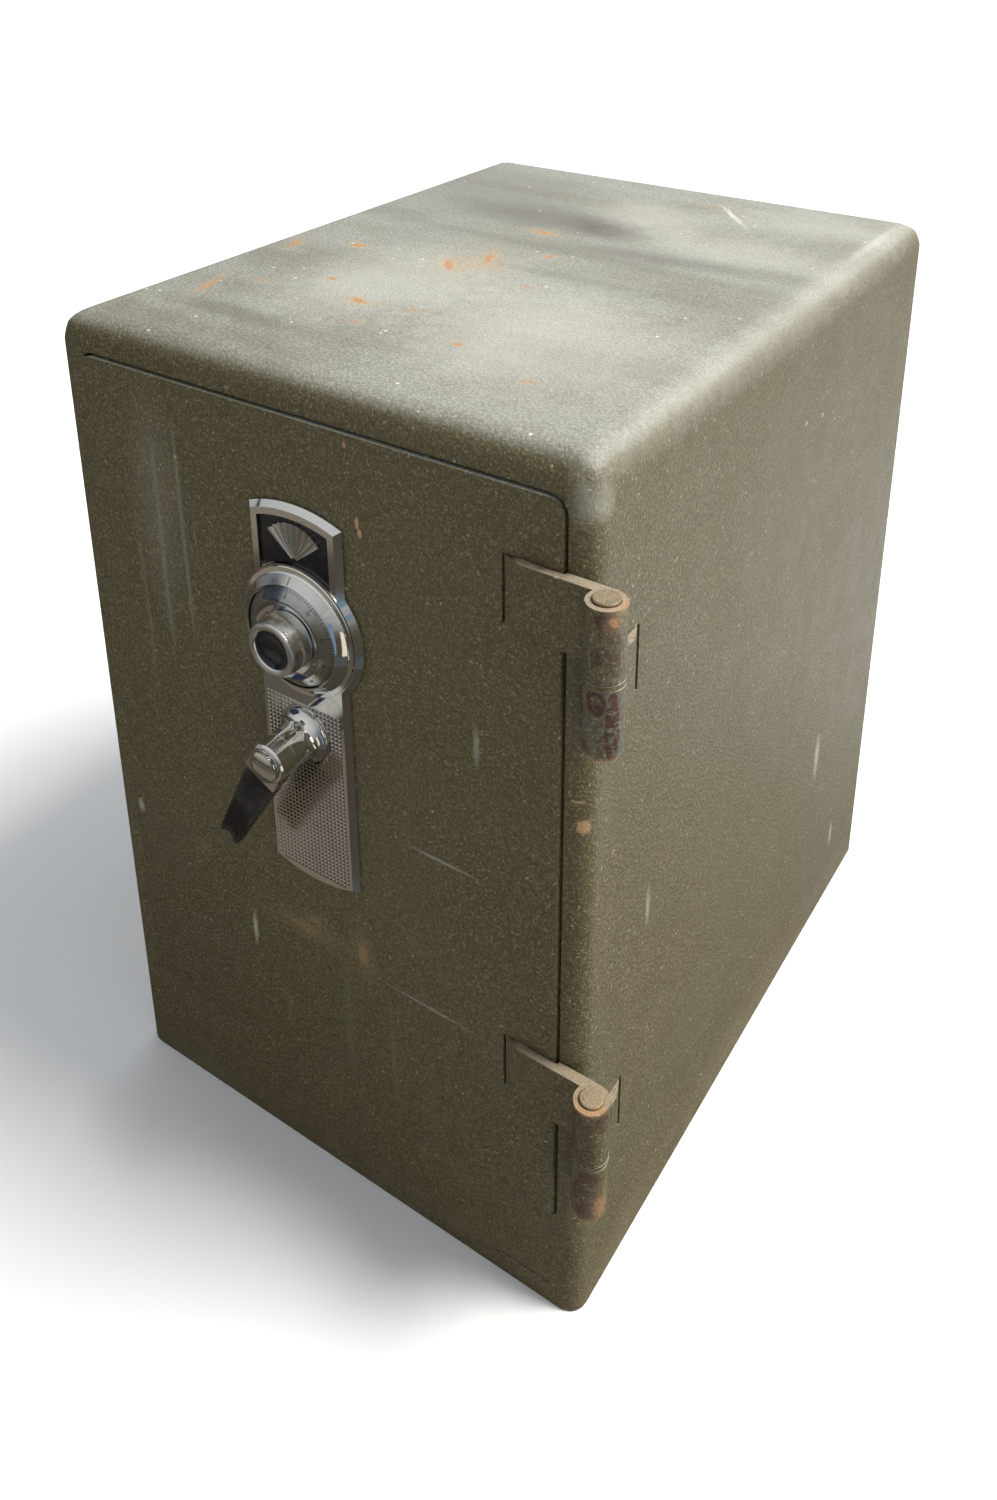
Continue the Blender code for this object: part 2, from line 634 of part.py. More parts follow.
def make_lock():
    case_low, case_high = (LOCK_X - 0.032, PLUG_BACK + 0.0004, 0.4760), (LOCK_X + 0.032, -0.1985, 0.5360)
    case = block("lock_case", case_low, case_high, "brass")
    wall = 0.003
    hollow_low = [value + wall for value in case_low]
    hollow_high = (case_high[0] - wall, case_high[1] + 0.02, case_high[2] - wall)
    cut(case, block("case_hollow", hollow_low, hollow_high))
    through = (LOCK_X, -0.23, DIAL_Z), (LOCK_X, -0.21, DIAL_Z)
    cut(case, rod("case_hole", *through, 0.0073, None, 24))
    bolt_low, bolt_high = (LOCK_BOLT_X - 0.0027, -0.2140, 0.4715), (LOCK_BOLT_X + 0.0027, -0.2030, 0.5000)
    cut(case, block("case_slot", *grown(bolt_low, (bolt_high[0], bolt_high[1], 0.4800), 0.0004)))
    block("blocking_bolt", bolt_low, bolt_high, "brass")
    lid_low = (case_low[0], case_high[1] + GAP, case_low[2])
    block("lock_lid", lid_low, (case_high[0], case_high[1] + 0.0023, case_high[2]), "brass")
    post_tube("wheel_post", DIAL_Z, 0.0044, 0.0070, out(-0.0020), -0.2047)
    gate = math.pi / 2
    for number, front in enumerate(WHEEL_FRONTS, 1):
        wheel(f"wheel_{number}", front, front + WHEEL_THICKNESS, 0.0073, WHEEL_RADIUS, gate)
    wheel("drive_cam", -0.2042, -0.2006, 0.0043, 0.0210, gate)


def post_tube(name, height, bore, radius, front, back):
    """A tube along Y on the lock's centre line."""
    front_height, back_height = -front, -back
    profile = [(bore, front_height), (radius, front_height), (radius, back_height), (bore, back_height)]
    return turned(name, (LOCK_X, 0, height), profile, "brass", 24)


def wheel(name, front, back, bore, radius, gate):
    disc = post_tube(name, DIAL_Z, bore, radius, front, back)
    disc.modifiers["turn"].steps = disc.modifiers["turn"].render_steps = 32
    low = (LOCK_X - 0.0035, front - 0.01, DIAL_Z + radius - 0.0055)
    cut(disc, block(name + "_gate", low, (LOCK_X + 0.0035, back + 0.01, DIAL_Z + radius + 0.01)))
    return disc


def make_dial():
    place = (LOCK_X, FRONT, DIAL_Z)
    flange = [(0.0043, 0.0165), (0.0230, 0.0165), (0.0270, 0.0184), (0.0284, 0.0195), (0.0296, 0.0190),
              (0.0365, 0.0145), (0.0368, 0.0138), (0.0368, 0.0120), (0.0043, 0.0120)]
    turned("dial_flange", place, flange, "satin", 56)
    knob = [(0, 0.0280), (0.0140, 0.0280), (0.0142, 0.0336), (0.0160, 0.0346), (0.0188, 0.0343),
            (0.0197, 0.0333), (0.0194, 0.0318), (0.0205, 0.0185), (0.0205, 0.0168), (0.0043, 0.0168),
            (0.0043, 0.0250), (0, 0.0250)]
    turned("dial_knob", place, knob, "chrome", 48)
    insert = [(0, 0.0296), (0.0070, 0.0300), (0.0120, 0.0322), (0.0132, 0.0330), (0.0137, 0.0326),
              (0.0137, 0.0283), (0, 0.0283)]
    turned("dial_insert", place, insert, "black", 32)
    rod("dial_spindle", (LOCK_X, out(0.0247), DIAL_Z), (LOCK_X, -0.2000, DIAL_Z), 0.0040, "brass", 24)


def lever_point(along, across):
    """A point in the lever's own directions, from the handle's axis toward the lever's tip."""
    down = Vector((-math.sin(LEVER_ANGLE), -math.cos(LEVER_ANGLE)))
    side = Vector((math.cos(LEVER_ANGLE), -math.sin(LEVER_ANGLE)))
    centre = Vector((LOCK_X, HANDLE_Z))
    return tuple(centre + down * along + side * across)


def make_handle():
    place = (LOCK_X, FRONT, HANDLE_Z)
    hub = [(0, 0.0466), (0.0122, 0.0466), (0.0136, 0.0462), (0.0145, 0.0450), (0.0145, 0.0215),
           (0.0149, 0.0180), (0.0161, 0.0142), (0.0180, 0.0115), (0.0202, 0.0100), (0.0205, 0.0092),
           (0.0205, 0.0083), (0.0063, 0.0083), (0.0063, 0.0300), (0, 0.0300)]
    base = turned("handle_hub", place, hub, "chrome", 40)
    near, far = out(0.0456), out(0.0325)
    wings = [lever_point(0.002, -0.0134), lever_point(0.0170, -0.0134), lever_point(0.0170, 0.0134),
             lever_point(0.002, 0.0134)]
    join(base, outline("hub_wings", wings, near, far))
    cap = [(0, 0.0502), (0.0104, 0.0500), (0.0115, 0.0494), (0.0117, 0.0484), (0.0117, 0.0469), (0, 0.0469)]
    turned("handle_cap", place, cap, "chrome", 40)
    root, tip, horn, notch = 0.0173, LEVER_LENGTH, 0.0050, 0.0042
    grip = [lever_point(root, -0.0134), lever_point(tip, -0.0088)]
    for step in range(9):
        turn = math.pi * step / 8
        across = -horn * math.cos(turn)
        grip.append(lever_point(tip - notch * math.sin(turn), across))
    grip += [lever_point(tip, 0.0088), lever_point(root, 0.0134)]
    made = outline("handle_grip", grip, near, far, "black")
    chamfer_front(made, 0.0012, 2)
    spindle = rod("handle_spindle", (LOCK_X, out(0.0297), HANDLE_Z), (LOCK_X, -0.2095, HANDLE_Z), 0.0060, "steel")
    pin_x = LOCK_X + CRANK_RADIUS * math.sin(LEVER_ANGLE)
    pin_z = HANDLE_Z + CRANK_RADIUS * math.cos(LEVER_ANGLE)
    up = math.pi / 2 - LEVER_ANGLE
    crank = arc((pin_x, pin_z), 0.0060, up - math.pi / 2, up + math.pi / 2, 8)
    crank += arc((LOCK_X, HANDLE_Z), 0.0085, up + math.pi / 2, up + 1.5 * math.pi, 10)
    join(spindle, outline("crank", crank, -0.2124, -0.2094))
    join(spindle, rod("crank_pin", (pin_x, -0.2100, pin_z), (pin_x, -0.2015, pin_z), 0.0040, None, 20))
    post_tube("handle_bush", HANDLE_Z, 0.0064, 0.0100, out(-0.0020), -0.2130)


make_body()
make_frame()
make_liner()
make_shelf()
make_badge()
for hinge_name, hinge_top in HINGE_TOPS.items():
    make_hinge(hinge_name, hinge_top)
make_lock_plate()
make_dial_ring()
make_door()
make_bolt_cover()
make_boltwork()
make_lock()
make_dial()
make_handle()


def attach(name, place, pieces):
    """An empty on a joint's axis, with the pieces that move on it."""
    axis = bpy.data.objects.new(name, None)
    axis.location = place
    SAFE.objects.link(axis)
    bpy.context.view_layer.update()
    for piece in pieces:
        moving = bpy.data.objects[piece]
        moving.parent = axis
        moving.matrix_parent_inverse = axis.matrix_world.inverted()
    return axis


DOOR_PIECES = [
    "door_skin", "door_insulation", "door_inner_pan", "dead_bar", "bolt_cover", "hinge_strap_upper",
    "hinge_strap_lower", "lock_plate", "window_panel", "fan_emblem", "dial_ring", "index_segment",
    "lock_case", "lock_lid", "wheel_post", "handle_bush",
]
DOOR_PIECES += [f"cover_screw_{number}" for number in range(1, len(COVER_SCREWS) + 1)]
BOLT_PIECES = ["bolt_carriage"] + [f"lock_bolt_{number}" for number in range(1, len(BOLT_HEIGHTS) + 1)]
dial_place = (LOCK_X, FRONT, DIAL_Z)
handle_place = (LOCK_X, FRONT, HANDLE_Z)
door_axis = attach("door_axis", (HINGE_X, HINGE_Y, 0), DOOR_PIECES)
axes = [
    attach("dial_axis", dial_place, ["dial_flange", "dial_knob", "dial_insert", "dial_spindle", "drive_cam"]),
    attach("handle_axis", handle_place, ["handle_hub", "handle_cap", "handle_grip", "handle_spindle"]),
    attach("bolt_slide", (BAR_X, BOLT_Y, HANDLE_Z), BOLT_PIECES),
    attach("blocking_slide", (LOCK_BOLT_X, -0.2085, 0.4715), ["blocking_bolt"]),
]
for number in range(1, len(WHEEL_FRONTS) + 1):
    axes.append(attach(f"wheel_axis_{number}", dial_place, [f"wheel_{number}"]))
for axis in axes:
    axis.parent = door_axis
    axis.matrix_parent_inverse = door_axis.matrix_world.inverted()
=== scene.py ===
"""The looks of the safe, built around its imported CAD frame."""

import math

import bpy
from mathutils import Matrix, Vector


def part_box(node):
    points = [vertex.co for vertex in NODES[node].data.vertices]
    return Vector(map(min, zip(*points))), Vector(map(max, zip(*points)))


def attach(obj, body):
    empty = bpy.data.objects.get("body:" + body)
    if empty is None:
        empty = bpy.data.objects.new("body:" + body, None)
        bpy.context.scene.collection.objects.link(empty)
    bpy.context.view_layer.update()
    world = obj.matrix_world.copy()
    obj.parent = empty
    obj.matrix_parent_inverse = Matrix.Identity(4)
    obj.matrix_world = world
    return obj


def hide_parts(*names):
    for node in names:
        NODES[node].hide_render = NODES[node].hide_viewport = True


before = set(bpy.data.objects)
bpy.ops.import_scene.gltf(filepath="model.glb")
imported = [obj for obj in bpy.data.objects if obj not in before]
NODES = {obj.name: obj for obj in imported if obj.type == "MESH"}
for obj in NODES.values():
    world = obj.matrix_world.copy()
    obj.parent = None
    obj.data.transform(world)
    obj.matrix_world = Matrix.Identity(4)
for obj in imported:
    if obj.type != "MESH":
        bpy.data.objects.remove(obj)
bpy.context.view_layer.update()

MM = 0.001
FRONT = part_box("body_shell")[0].y
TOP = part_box("body_shell")[1].z
LOCK_X = sum(corner.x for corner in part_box("dial_knob")) / 2
DIAL_Z = sum(corner.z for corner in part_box("dial_knob")) / 2
HANDLE_Z = sum(corner.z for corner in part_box("handle_cap")) / 2
PLATE_FACE = 8.0 * MM
LEVER_ANGLE = math.radians(29)
CONE_LOW, CONE_HIGH = (36.5 * MM, 14.5 * MM), (29.6 * MM, 19.0 * MM)
SEGMENT_LOW, SEGMENT_HIGH = (43.7 * MM, 11.3 * MM), (38.3 * MM, 15.8 * MM)


def link_to_scene(item):
    bpy.context.scene.collection.objects.link(item)


def out(distance):
    """The y of a point this far in front of the body's front face."""
    return FRONT - distance


# ---------------------------------------------------------------- shader graphs


class Graph:
    """A material under construction, with short names for the nodes that are used often."""

    def __init__(self, name, **shader):
        self.material = bpy.data.materials.new(name)
        self.material.use_nodes = True
        self.tree = self.material.node_tree
        self.tree.nodes.clear()
        self.shader = self.node("ShaderNodeBsdfPrincipled", **shader)
        output = self.node("ShaderNodeOutputMaterial")
        self.tree.links.new(self.shader.outputs[0], output.inputs[0])
        places = self.node("ShaderNodeTexCoord")
        self.place, self.normal = places.outputs["Object"], places.outputs["Normal"]

    def node(self, kind, settings=None, **inputs):
        made = self.tree.nodes.new(kind)
        for key, value in (settings or {}).items():
            setattr(made, key, value)
        for key, value in inputs.items():
            self.put(made.inputs[key.replace("_", " ")], value)
        return made

    def put(self, socket, value):
        if isinstance(value, bpy.types.NodeSocket):
            self.tree.links.new(value, socket)
        elif socket.type == "RGBA" and len(value) == 3:
            socket.default_value = (*value, 1)
        else:
            socket.default_value = value

    def set(self, **inputs):
        for key, value in inputs.items():
            self.put(self.shader.inputs[key.replace("_", " ")], value)

    def math(self, operation, a, b=0.0):
        made = self.node("ShaderNodeMath", {"operation": operation})
        self.put(made.inputs[0], a)
        self.put(made.inputs[1], b)
        return made.outputs[0]

    def times(self, a, b):
        return self.math("MULTIPLY", a, b)

    def plus(self, a, b):
        return self.math("ADD", a, b)

    def minus(self, a, b):
        return self.math("SUBTRACT", a, b)

    def vector(self, operation, a, b=(0, 0, 0)):
        made = self.node("ShaderNodeVectorMath", {"operation": operation})
        self.put(made.inputs[0], a)
        self.put(made.inputs[1], b)
        return made.outputs["Value" if operation == "LENGTH" else 0]

    def split(self, vector):
        return self.node("ShaderNodeSeparateXYZ", Vector=vector).outputs

    def stretched(self, factors, turn=0.0):
        made = self.node("ShaderNodeMapping", Vector=self.place, Scale=factors)
        made.inputs["Rotation"].default_value = (0, 0, turn)
        return made.outputs[0]

    def noise(self, scale, detail=3.0, rough=0.55, twist=0.0, vector=None):
        made = self.node("ShaderNodeTexNoise", Vector=vector or self.place, Scale=scale,
                         Detail=detail, Roughness=rough, Distortion=twist)
        return made.outputs[0]

    def cells(self, scale, vector=None, feature="F1"):
        """The distance to the nearest of scattered points."""
        made = self.node("ShaderNodeTexVoronoi", {"feature": feature},
                         Vector=vector or self.place, Scale=scale)
        return made.outputs["Distance"]

    def span(self, value, low, high, to_low=0.0, to_high=1.0):
        """A smooth step from to_low to to_high as the value goes from low to high."""
        made = self.node("ShaderNodeMapRange", {"interpolation_type": "SMOOTHSTEP"}, Value=value)
        ends = {"From Min": low, "From Max": high, "To Min": to_low, "To Max": to_high}
        for key, number in ends.items():
            self.put(made.inputs[key], number)
        return made.outputs[0]

    def mix(self, share, a, b):
        """Colour a blended towards colour b by the share."""
        made = self.node("ShaderNodeMix", {"data_type": "RGBA"})
        for index, value in ((0, share), (6, a), (7, b)):
            self.put(made.inputs[index], value)
        return made.outputs[2]

    def bump(self, height, distance, strength=1.0):
        made = self.node("ShaderNodeBump", Height=height, Strength=strength, Distance=distance)
        return made.outputs[0]

    def spot(self, centre, radii, edge=0.35, ragged=0.5, scale=160.0, turn=0.0):
        """A soft-edged ragged patch round a point: 1 inside, 0 outside."""
        away = self.vector("SUBTRACT", self.place, centre)
        if turn:
            spun = self.node("ShaderNodeVectorRotate", {"rotation_type": "Z_AXIS"},
                             Vector=away, Angle=turn)
            away = spun.outputs[0]
        away = self.vector("DIVIDE", away, radii)
        reach = self.vector("LENGTH", away)
        wobble = self.times(self.minus(self.noise(scale, 4.0, 0.65), 0.5), ragged * 2)
        reach = self.plus(reach, wobble)
        return self.span(reach, 1.0 - edge, 1.0 + edge, 1.0, 0.0)


# ---------------------------------------------------------------- paint

OLIVE_DARK = (0.064, 0.0495, 0.0182)
OLIVE_MID = (0.138, 0.114, 0.052)
OLIVE_LIGHT = (0.310, 0.282, 0.180)
DUST_AND_HIGHLIGHT_GREY = (0.385, 0.385, 0.345)
CREAM = (0.350, 0.310, 0.235)
RUST_ORANGE = (0.470, 0.235, 0.085)
RUST_BROWN = (0.034, 0.014, 0.009)
RUST_TAN = (0.400, 0.270, 0.130)
CHIP_TAN = (0.400, 0.230, 0.120)
SCRATCH_GREY = (0.30, 0.29, 0.24)
WRINKLE_BEND = 0.004
FLECK_SCALE = 95.0
FOOT_HEIGHT = 0.055
STREAK_FADE = 0.05
HALO_SIZE = 2.2
HINGE_AXIS = (0.234, -0.2936, 0)
BARREL_EDGE = (0.0122, 0.0135)
STRAP_START = (0.166, 0.174)
# the stretch of the noise along each set of hairline scratches, and its turn about the vertical
HAIRLINES = (((1000, 25, 1000), 0.3), ((25, 1000, 1000), -0.2), ((1000, 1000, 22), 0.15))


def paint(name, rusts=(), pales_and_highlights=(), darks=(), chips=(), dust_and_highlight=1.0, streaks=(), worn_parts=(),
          bare_top=0.0, slate_sheen_and_wear=0.0):
    """Wrinkled olive enamel with its marks.

    rusts, pales, darks, chips and worn_parts hold (centre, radii, strength, turn) patches, and
    streaks hold (x, low, high, width, strength) runs down the door, all in metres. Pale patches
    are marks, but along the top right edge and on the front top right corner they are painted
    highlights. The dusting on upward faces is also a painted highlight along the door's top edge.
    bare_top sets the worn-through metal on the hinges' tops. The barrels get grey patches that
    are partly worn-through metal and partly a painted blue-grey sheen.
    """
    g = Graph(name, Roughness=0.42, Specular_IOR_Level=0.40)
    warp = g.node("ShaderNodeTexNoise", Vector=g.place, Scale=140.0, Detail=2.0)
    bend = g.vector("SUBTRACT", warp.outputs["Color"], (0.5,) * 3)
    bent = g.vector("ADD", g.place, g.vector("MULTIPLY", bend, (WRINKLE_BEND,) * 3))
    leather = g.cells(520.0, bent, "SMOOTH_F1")
    wrinkle = g.noise(640.0, 3.0, 0.6, 1.0, bent)
    grain = g.plus(g.times(g.minus(1.0, leather), 0.6), g.times(wrinkle, 0.5))
    fine = g.noise(1500.0, 2.0, 0.5)
    broad = g.noise(5.0, 4.0, 0.6, 0.6)
    cloud = g.noise(16.0, 5.0, 0.62, 0.8)
    colour = g.mix(g.span(grain, 0.50, 0.92), OLIVE_DARK, OLIVE_MID)
    colour = g.mix(g.span(wrinkle, 0.57, 0.71, 0.0, 0.68), colour, OLIVE_LIGHT)
    colour = g.mix(g.span(broad, 0.35, 0.70, 0.0, 0.22), colour, (0.085, 0.078, 0.044))
    colour = g.mix(g.span(cloud, 0.50, 0.75, 0.0, 0.10), colour, (0.110, 0.082, 0.045))
    rough = g.span(g.plus(g.times(cloud, 0.7), g.times(fine, 0.3)), 0.3, 0.7, 0.36, 0.50)
    # Dusting on upward faces. On the door, whose only upward face is its top edge, this is a
    # painted highlight along that edge.
    if dust_and_highlight:
        up = g.span(g.split(g.normal)[2], 0.55, 0.98)
        stretched_noise = g.noise(7.0, 4.0, 0.6, 0.4, g.stretched((0.55, 2.2, 1.0), 0.10))
        coverage = g.plus(g.times(stretched_noise, 0.55), g.times(cloud, 0.45))
        dust_and_highlight_share = g.times(g.times(up, dust_and_highlight), g.span(coverage, 0.30, 0.64, 0.42, 0.86))
        dusty = g.mix(g.span(grain, 0.45, 0.95), (0.215, 0.215, 0.180), DUST_AND_HIGHLIGHT_GREY)
        colour = g.mix(dust_and_highlight_share, colour, dusty)
        rough = g.plus(rough, g.times(dust_and_highlight_share, 0.06))
    for factors, turn in HAIRLINES:
        hair = g.noise(1.0, 1.0, 0.5, 0.3, g.stretched(factors, turn))
        patch = g.span(g.noise(6.0, 2.0, 0.5, 0.0, g.stretched((1, 1, 1), turn)), 0.56, 0.66)
        hair = g.times(g.times(g.span(hair, 0.72, 0.76), patch), 0.30)
        colour = g.mix(hair, colour, SCRATCH_GREY)
    foot = g.times(g.span(g.split(g.place)[2], 0.0, FOOT_HEIGHT, 1.0, 0.0),
                   g.span(cloud, 0.35, 0.65, 0.15, 0.55))
    colour = g.mix(foot, colour, (0.150, 0.120, 0.078))
    for centre, radii, strength, turn in darks:
        patch_mask = g.spot(centre, radii, 0.75, 0.35, 22.0, turn)
        colour = g.mix(g.times(patch_mask, strength), colour, (0.080, 0.072, 0.050))
    # pale patches: marks, and where listed on the top right edge and corner, painted highlights
    for centre, radii, strength, turn in pales_and_highlights:
        patch_mask = g.spot(centre, radii, 0.7, 0.45, 90.0, turn)
        colour = g.mix(g.times(patch_mask, strength), colour, (0.52, 0.51, 0.44))
    for centre, radii, strength, turn in chips:
        chip = g.spot(centre, radii, 0.22, 0.45, 300.0, turn)
        colour = g.mix(g.times(chip, strength), colour, CHIP_TAN)
    for x, low, high, width, strength in streaks:
        parts = g.split(g.place)
        wander = g.times(g.minus(g.noise(9.0, 2.0), 0.5), 0.010)
        side = g.math("ABSOLUTE", g.minus(parts[0], g.plus(x, wander)))
        tall = g.times(g.span(parts[2], low, low + STREAK_FADE),
                       g.span(parts[2], high - STREAK_FADE, high, 1.0, 0.0))
        run = g.times(g.span(side, 0.0, width, 1.0, 0.0), tall)
        colour = g.mix(g.times(run, strength), colour, (0.24, 0.26, 0.24))
    flecks = g.cells(FLECK_SCALE)
    tint = g.node("ShaderNodeTexVoronoi", Vector=g.place, Scale=FLECK_SCALE).outputs["Color"]
    chosen = g.span(g.split(tint)[0], 0.87, 0.88)
    chip = g.times(g.span(flecks, 0.08, 0.13, 1.0, 0.0), chosen)
    chip = g.times(chip, g.span(g.split(g.normal)[2], 0.3, 0.9, 0.18, 0.85))
    colour = g.mix(chip, colour, (0.72, 0.66, 0.50))
    # grey patches on the hinge barrels, partly worn-through metal and partly a painted blue-grey
    # sheen
    if slate_sheen_and_wear:
        barrel = g.vector("MULTIPLY", g.vector("SUBTRACT", g.place, HINGE_AXIS), (1, 1, 0))
        barrel = g.span(g.vector("LENGTH", barrel), *BARREL_EDGE, slate_sheen_and_wear, 0.0)
        bare_and_sheen = g.times(g.span(g.noise(70.0, 4.0, 0.6), 0.40, 0.62), barrel)
        bare_and_sheen_grey = g.mix(g.span(grain, 0.5, 0.9), (0.085, 0.083, 0.068), (0.165, 0.162, 0.138))
        colour = g.mix(bare_and_sheen, colour, bare_and_sheen_grey)
    for centre, radii, strength, turn in worn_parts:
        reach = g.span(g.spot(centre, radii, 0.6, 0.3, 60.0, turn), 0.35, 0.55)
        worn = g.span(g.noise(190.0, 6.0, 0.75, 0.6), 0.44, 0.465)
        worn = g.times(g.times(worn, reach), strength)
        colour = g.mix(worn, colour, g.mix(g.noise(300.0), RUST_BROWN, (0.080, 0.031, 0.017)))
        rough = g.plus(rough, g.times(worn, 0.2))
    if bare_top:
        edge = g.times(g.span(g.split(g.normal)[2], 0.45, 0.90),
                       g.span(g.split(g.place)[0], *STRAP_START))
        rubbed = g.span(g.noise(160.0, 5.0, 0.7), 0.30, 0.52, 0.45 * bare_top, bare_top)
        edge = g.times(edge, rubbed)
        colour = g.mix(edge, colour, g.mix(g.noise(210.0, 4.0), CREAM, (0.30, 0.22, 0.15)))
    rusty = None
    for centre, radii, strength, turn in rusts:
        halo = g.spot(centre, tuple(HALO_SIZE * r for r in radii), 0.9, 0.5, 120.0, turn)
        core = g.times(g.spot(centre, radii, 0.4, 0.9, 260.0, turn), strength)
        colour = g.mix(g.times(halo, 0.38 * strength), colour, RUST_TAN)
        colour = g.mix(core, colour, g.mix(g.noise(420.0, 3.0), RUST_ORANGE, (0.30, 0.135, 0.050)))
        rusty = core if rusty is None else g.math("MAXIMUM", rusty, core)
    if rusty is not None:
        rough = g.plus(rough, g.times(rusty, 0.3))
    height = g.plus(grain, g.times(fine, 0.12))
    g.set(Base_Color=colour, Roughness=rough, Normal=g.bump(height, 0.0007, 1.0))
    return g.material


STAIN = (0.20, 0.13, 0.08)


def metal(name, base, rough, dirt=0.25, grain=0.0, stretch=(1, 1, 1), pits=0.0):
    """Bare or plated metal with smudges, fine scratches and a little staining."""
    g = Graph(name, Metallic=1.0)
    smudge = g.noise(38.0, 5.0, 0.65, 0.6)
    hair = g.noise(900.0, 2.0, 0.5, 0.0, g.stretched(stretch))
    colour = g.mix(g.span(smudge, 0.52, 0.78, 0.0, dirt), base, STAIN)
    speck = g.cells(210.0)
    colour = g.mix(g.span(speck, 0.06, 0.14, pits, 0.0), colour, tuple(0.25 * c for c in base))
    roughness = g.plus(g.span(smudge, 0.3, 0.8, rough * 0.8, rough * 1.5 + 0.03),
                       g.times(g.span(hair, 0.4, 0.8), grain * 0.25))
    height = g.bump(g.plus(hair, g.times(smudge, 0.3)), 0.00002 + 0.0001 * grain, 0.5)
    g.set(Base_Color=colour, Roughness=roughness, Normal=height)
    return g.material


BEAD_EDGE = (0.0293, 0.0298)


def flange_metal(name):
    """Polished plate, but satin on the graduated cone outside the bead."""
    g = Graph(name, Metallic=1.0)
    away = g.vector("MULTIPLY", g.vector("SUBTRACT", g.place, (LOCK_X, 0, DIAL_Z)), (1, 0, 1))
    outside = g.span(g.vector("LENGTH", away), *BEAD_EDGE)
    smudge = g.noise(60.0, 5.0, 0.65, 0.6)
    satin = g.mix(g.span(smudge, 0.45, 0.75), (0.66, 0.65, 0.60), (0.46, 0.43, 0.37))
    colour = g.mix(outside, (0.68, 0.67, 0.65), satin)
    rough = g.plus(g.span(smudge, 0.3, 0.8, 0.05, 0.16), g.times(outside, 0.14))
    g.set(Base_Color=colour, Roughness=rough, Normal=g.bump(g.noise(700.0), 0.00002, 0.5))
    return g.material


def plastic(name, base, rough, dusty=0.15):
    """Moulded plastic with a dusty bloom and handling marks."""
    g = Graph(name, Specular_IOR_Level=0.5)
    bloom = g.noise(60.0, 5.0, 0.6, 0.4)
    fine = g.noise(1300.0, 2.0)
    colour = g.mix(g.span(bloom, 0.45, 0.8, 0.0, dusty), base, (0.16, 0.145, 0.12))
    g.set(Base_Color=colour, Roughness=g.span(bloom, 0.3, 0.75, rough * 0.85, rough * 1.3),
          Normal=g.bump(fine, 0.00003, 0.5))
    return g.material


def cast(name, base):
    """Rough cast fire filling."""
    g = Graph(name, Roughness=0.95, Specular_IOR_Level=0.2)
    lump = g.noise(130.0, 6.0, 0.7)
    colour = g.mix(g.span(lump, 0.35, 0.7), tuple(0.7 * c for c in base), base)
    colour = g.mix(g.span(g.cells(320.0), 0.1, 0.3, 0.5, 0.0), colour, (0.45, 0.38, 0.24))
    g.set(Base_Color=colour, Normal=g.bump(lump, 0.0008, 0.8))
    return g.material


def enamel(name, base, rough=0.45):
    """Plain smooth paint of the inside, with light soiling."""
    g = Graph(name, Specular_IOR_Level=0.45)
    soil = g.noise(20.0, 5.0, 0.6, 0.5)
    peel = g.noise(650.0, 2.0)
    colour = g.mix(g.span(soil, 0.45, 0.8, 0.0, 0.35), base, tuple(0.55 * c for c in base))
    colour = g.mix(g.span(g.cells(45.0), 0.03, 0.07, 0.5, 0.0), colour, (0.22, 0.12, 0.06))
    g.set(Base_Color=colour, Roughness=g.span(soil, 0.3, 0.8, rough * 0.9, rough * 1.3),
          Normal=g.bump(peel, 0.00012, 0.5))
    return g.material


TOP_RUSTS = [
    ((-0.05, -0.044, TOP), (0.012, 0.0035, 0.02), 0.8, 0.9),
    ((-0.042, -0.034, TOP), (0.018, 0.01, 0.02), 0.22, 1.0),
    ((-0.033, -0.014, TOP), (0.011, 0.0028, 0.02), 0.85, 1.2),
    ((-0.02, -0.025, TOP), (0.024, 0.008, 0.02), 0.15, 0.9),
    ((-0.054, -0.148, TOP), (0.007, 0.0035, 0.02), 0.85, 0.2),
    ((-0.141, -0.043, TOP), (0.006, 0.003, 0.02), 0.8, 0.0),
    ((-0.103, -0.12, TOP), (0.0035, 0.0025, 0.02), 0.8, 0.0),
    ((-0.145, -0.152, TOP), (0.004, 0.0025, 0.02), 0.55, 0.0),
    ((0.055, -0.179, TOP), (0.003, 0.002, 0.02), 0.75, 0.0),
    ((-0.188, -0.066, TOP), (0.008, 0.003, 0.02), 0.65, 1.2),
    ((-0.17, -0.18, TOP), (0.015, 0.0025, 0.02), 0.7, 1.3),
    ((-0.03, -0.183, TOP), (0.004, 0.003, 0.02), 0.3, 0.0),
    ((-0.008, -0.142, TOP), (0.004, 0.003, 0.02), 0.3, 0.0),
    ((-0.034, 0.07, TOP), (0.008, 0.003, 0.02), 0.95, 0.1),
    ((0.004, 0.016, TOP), (0.0035, 0.003, 0.02), 0.8, 0.0),
    ((0.029, -0.055, TOP), (0.004, 0.002, 0.02), 0.45, 0.0),
    ((0.127, -0.206, TOP), (0.003, 0.003, 0.02), 0.5, 0.0),
    ((0.042, 0.225, TOP), (0.006, 0.003, 0.02), 0.35, 0.0),
]
BODY_CHIPS = [
    ((0.2145, -0.278, 0.4375), (0.0045, 0.0045, 0.0055), 0.6, 0.0),
    ((0.211, -0.28, 0.456), (0.004, 0.004, 0.001), 0.55, 0.0),
    ((0.22, 0.032, 0.586), (0.01, 0.0022, 0.0018), 0.75, 0.0),
    ((0.22, 0.066, 0.58), (0.01, 0.0022, 0.0018), 0.75, 0.0),
    ((0.22, -0.25, 0.4), (0.01, 0.0012, 0.002), 0.6, 0.0),
]
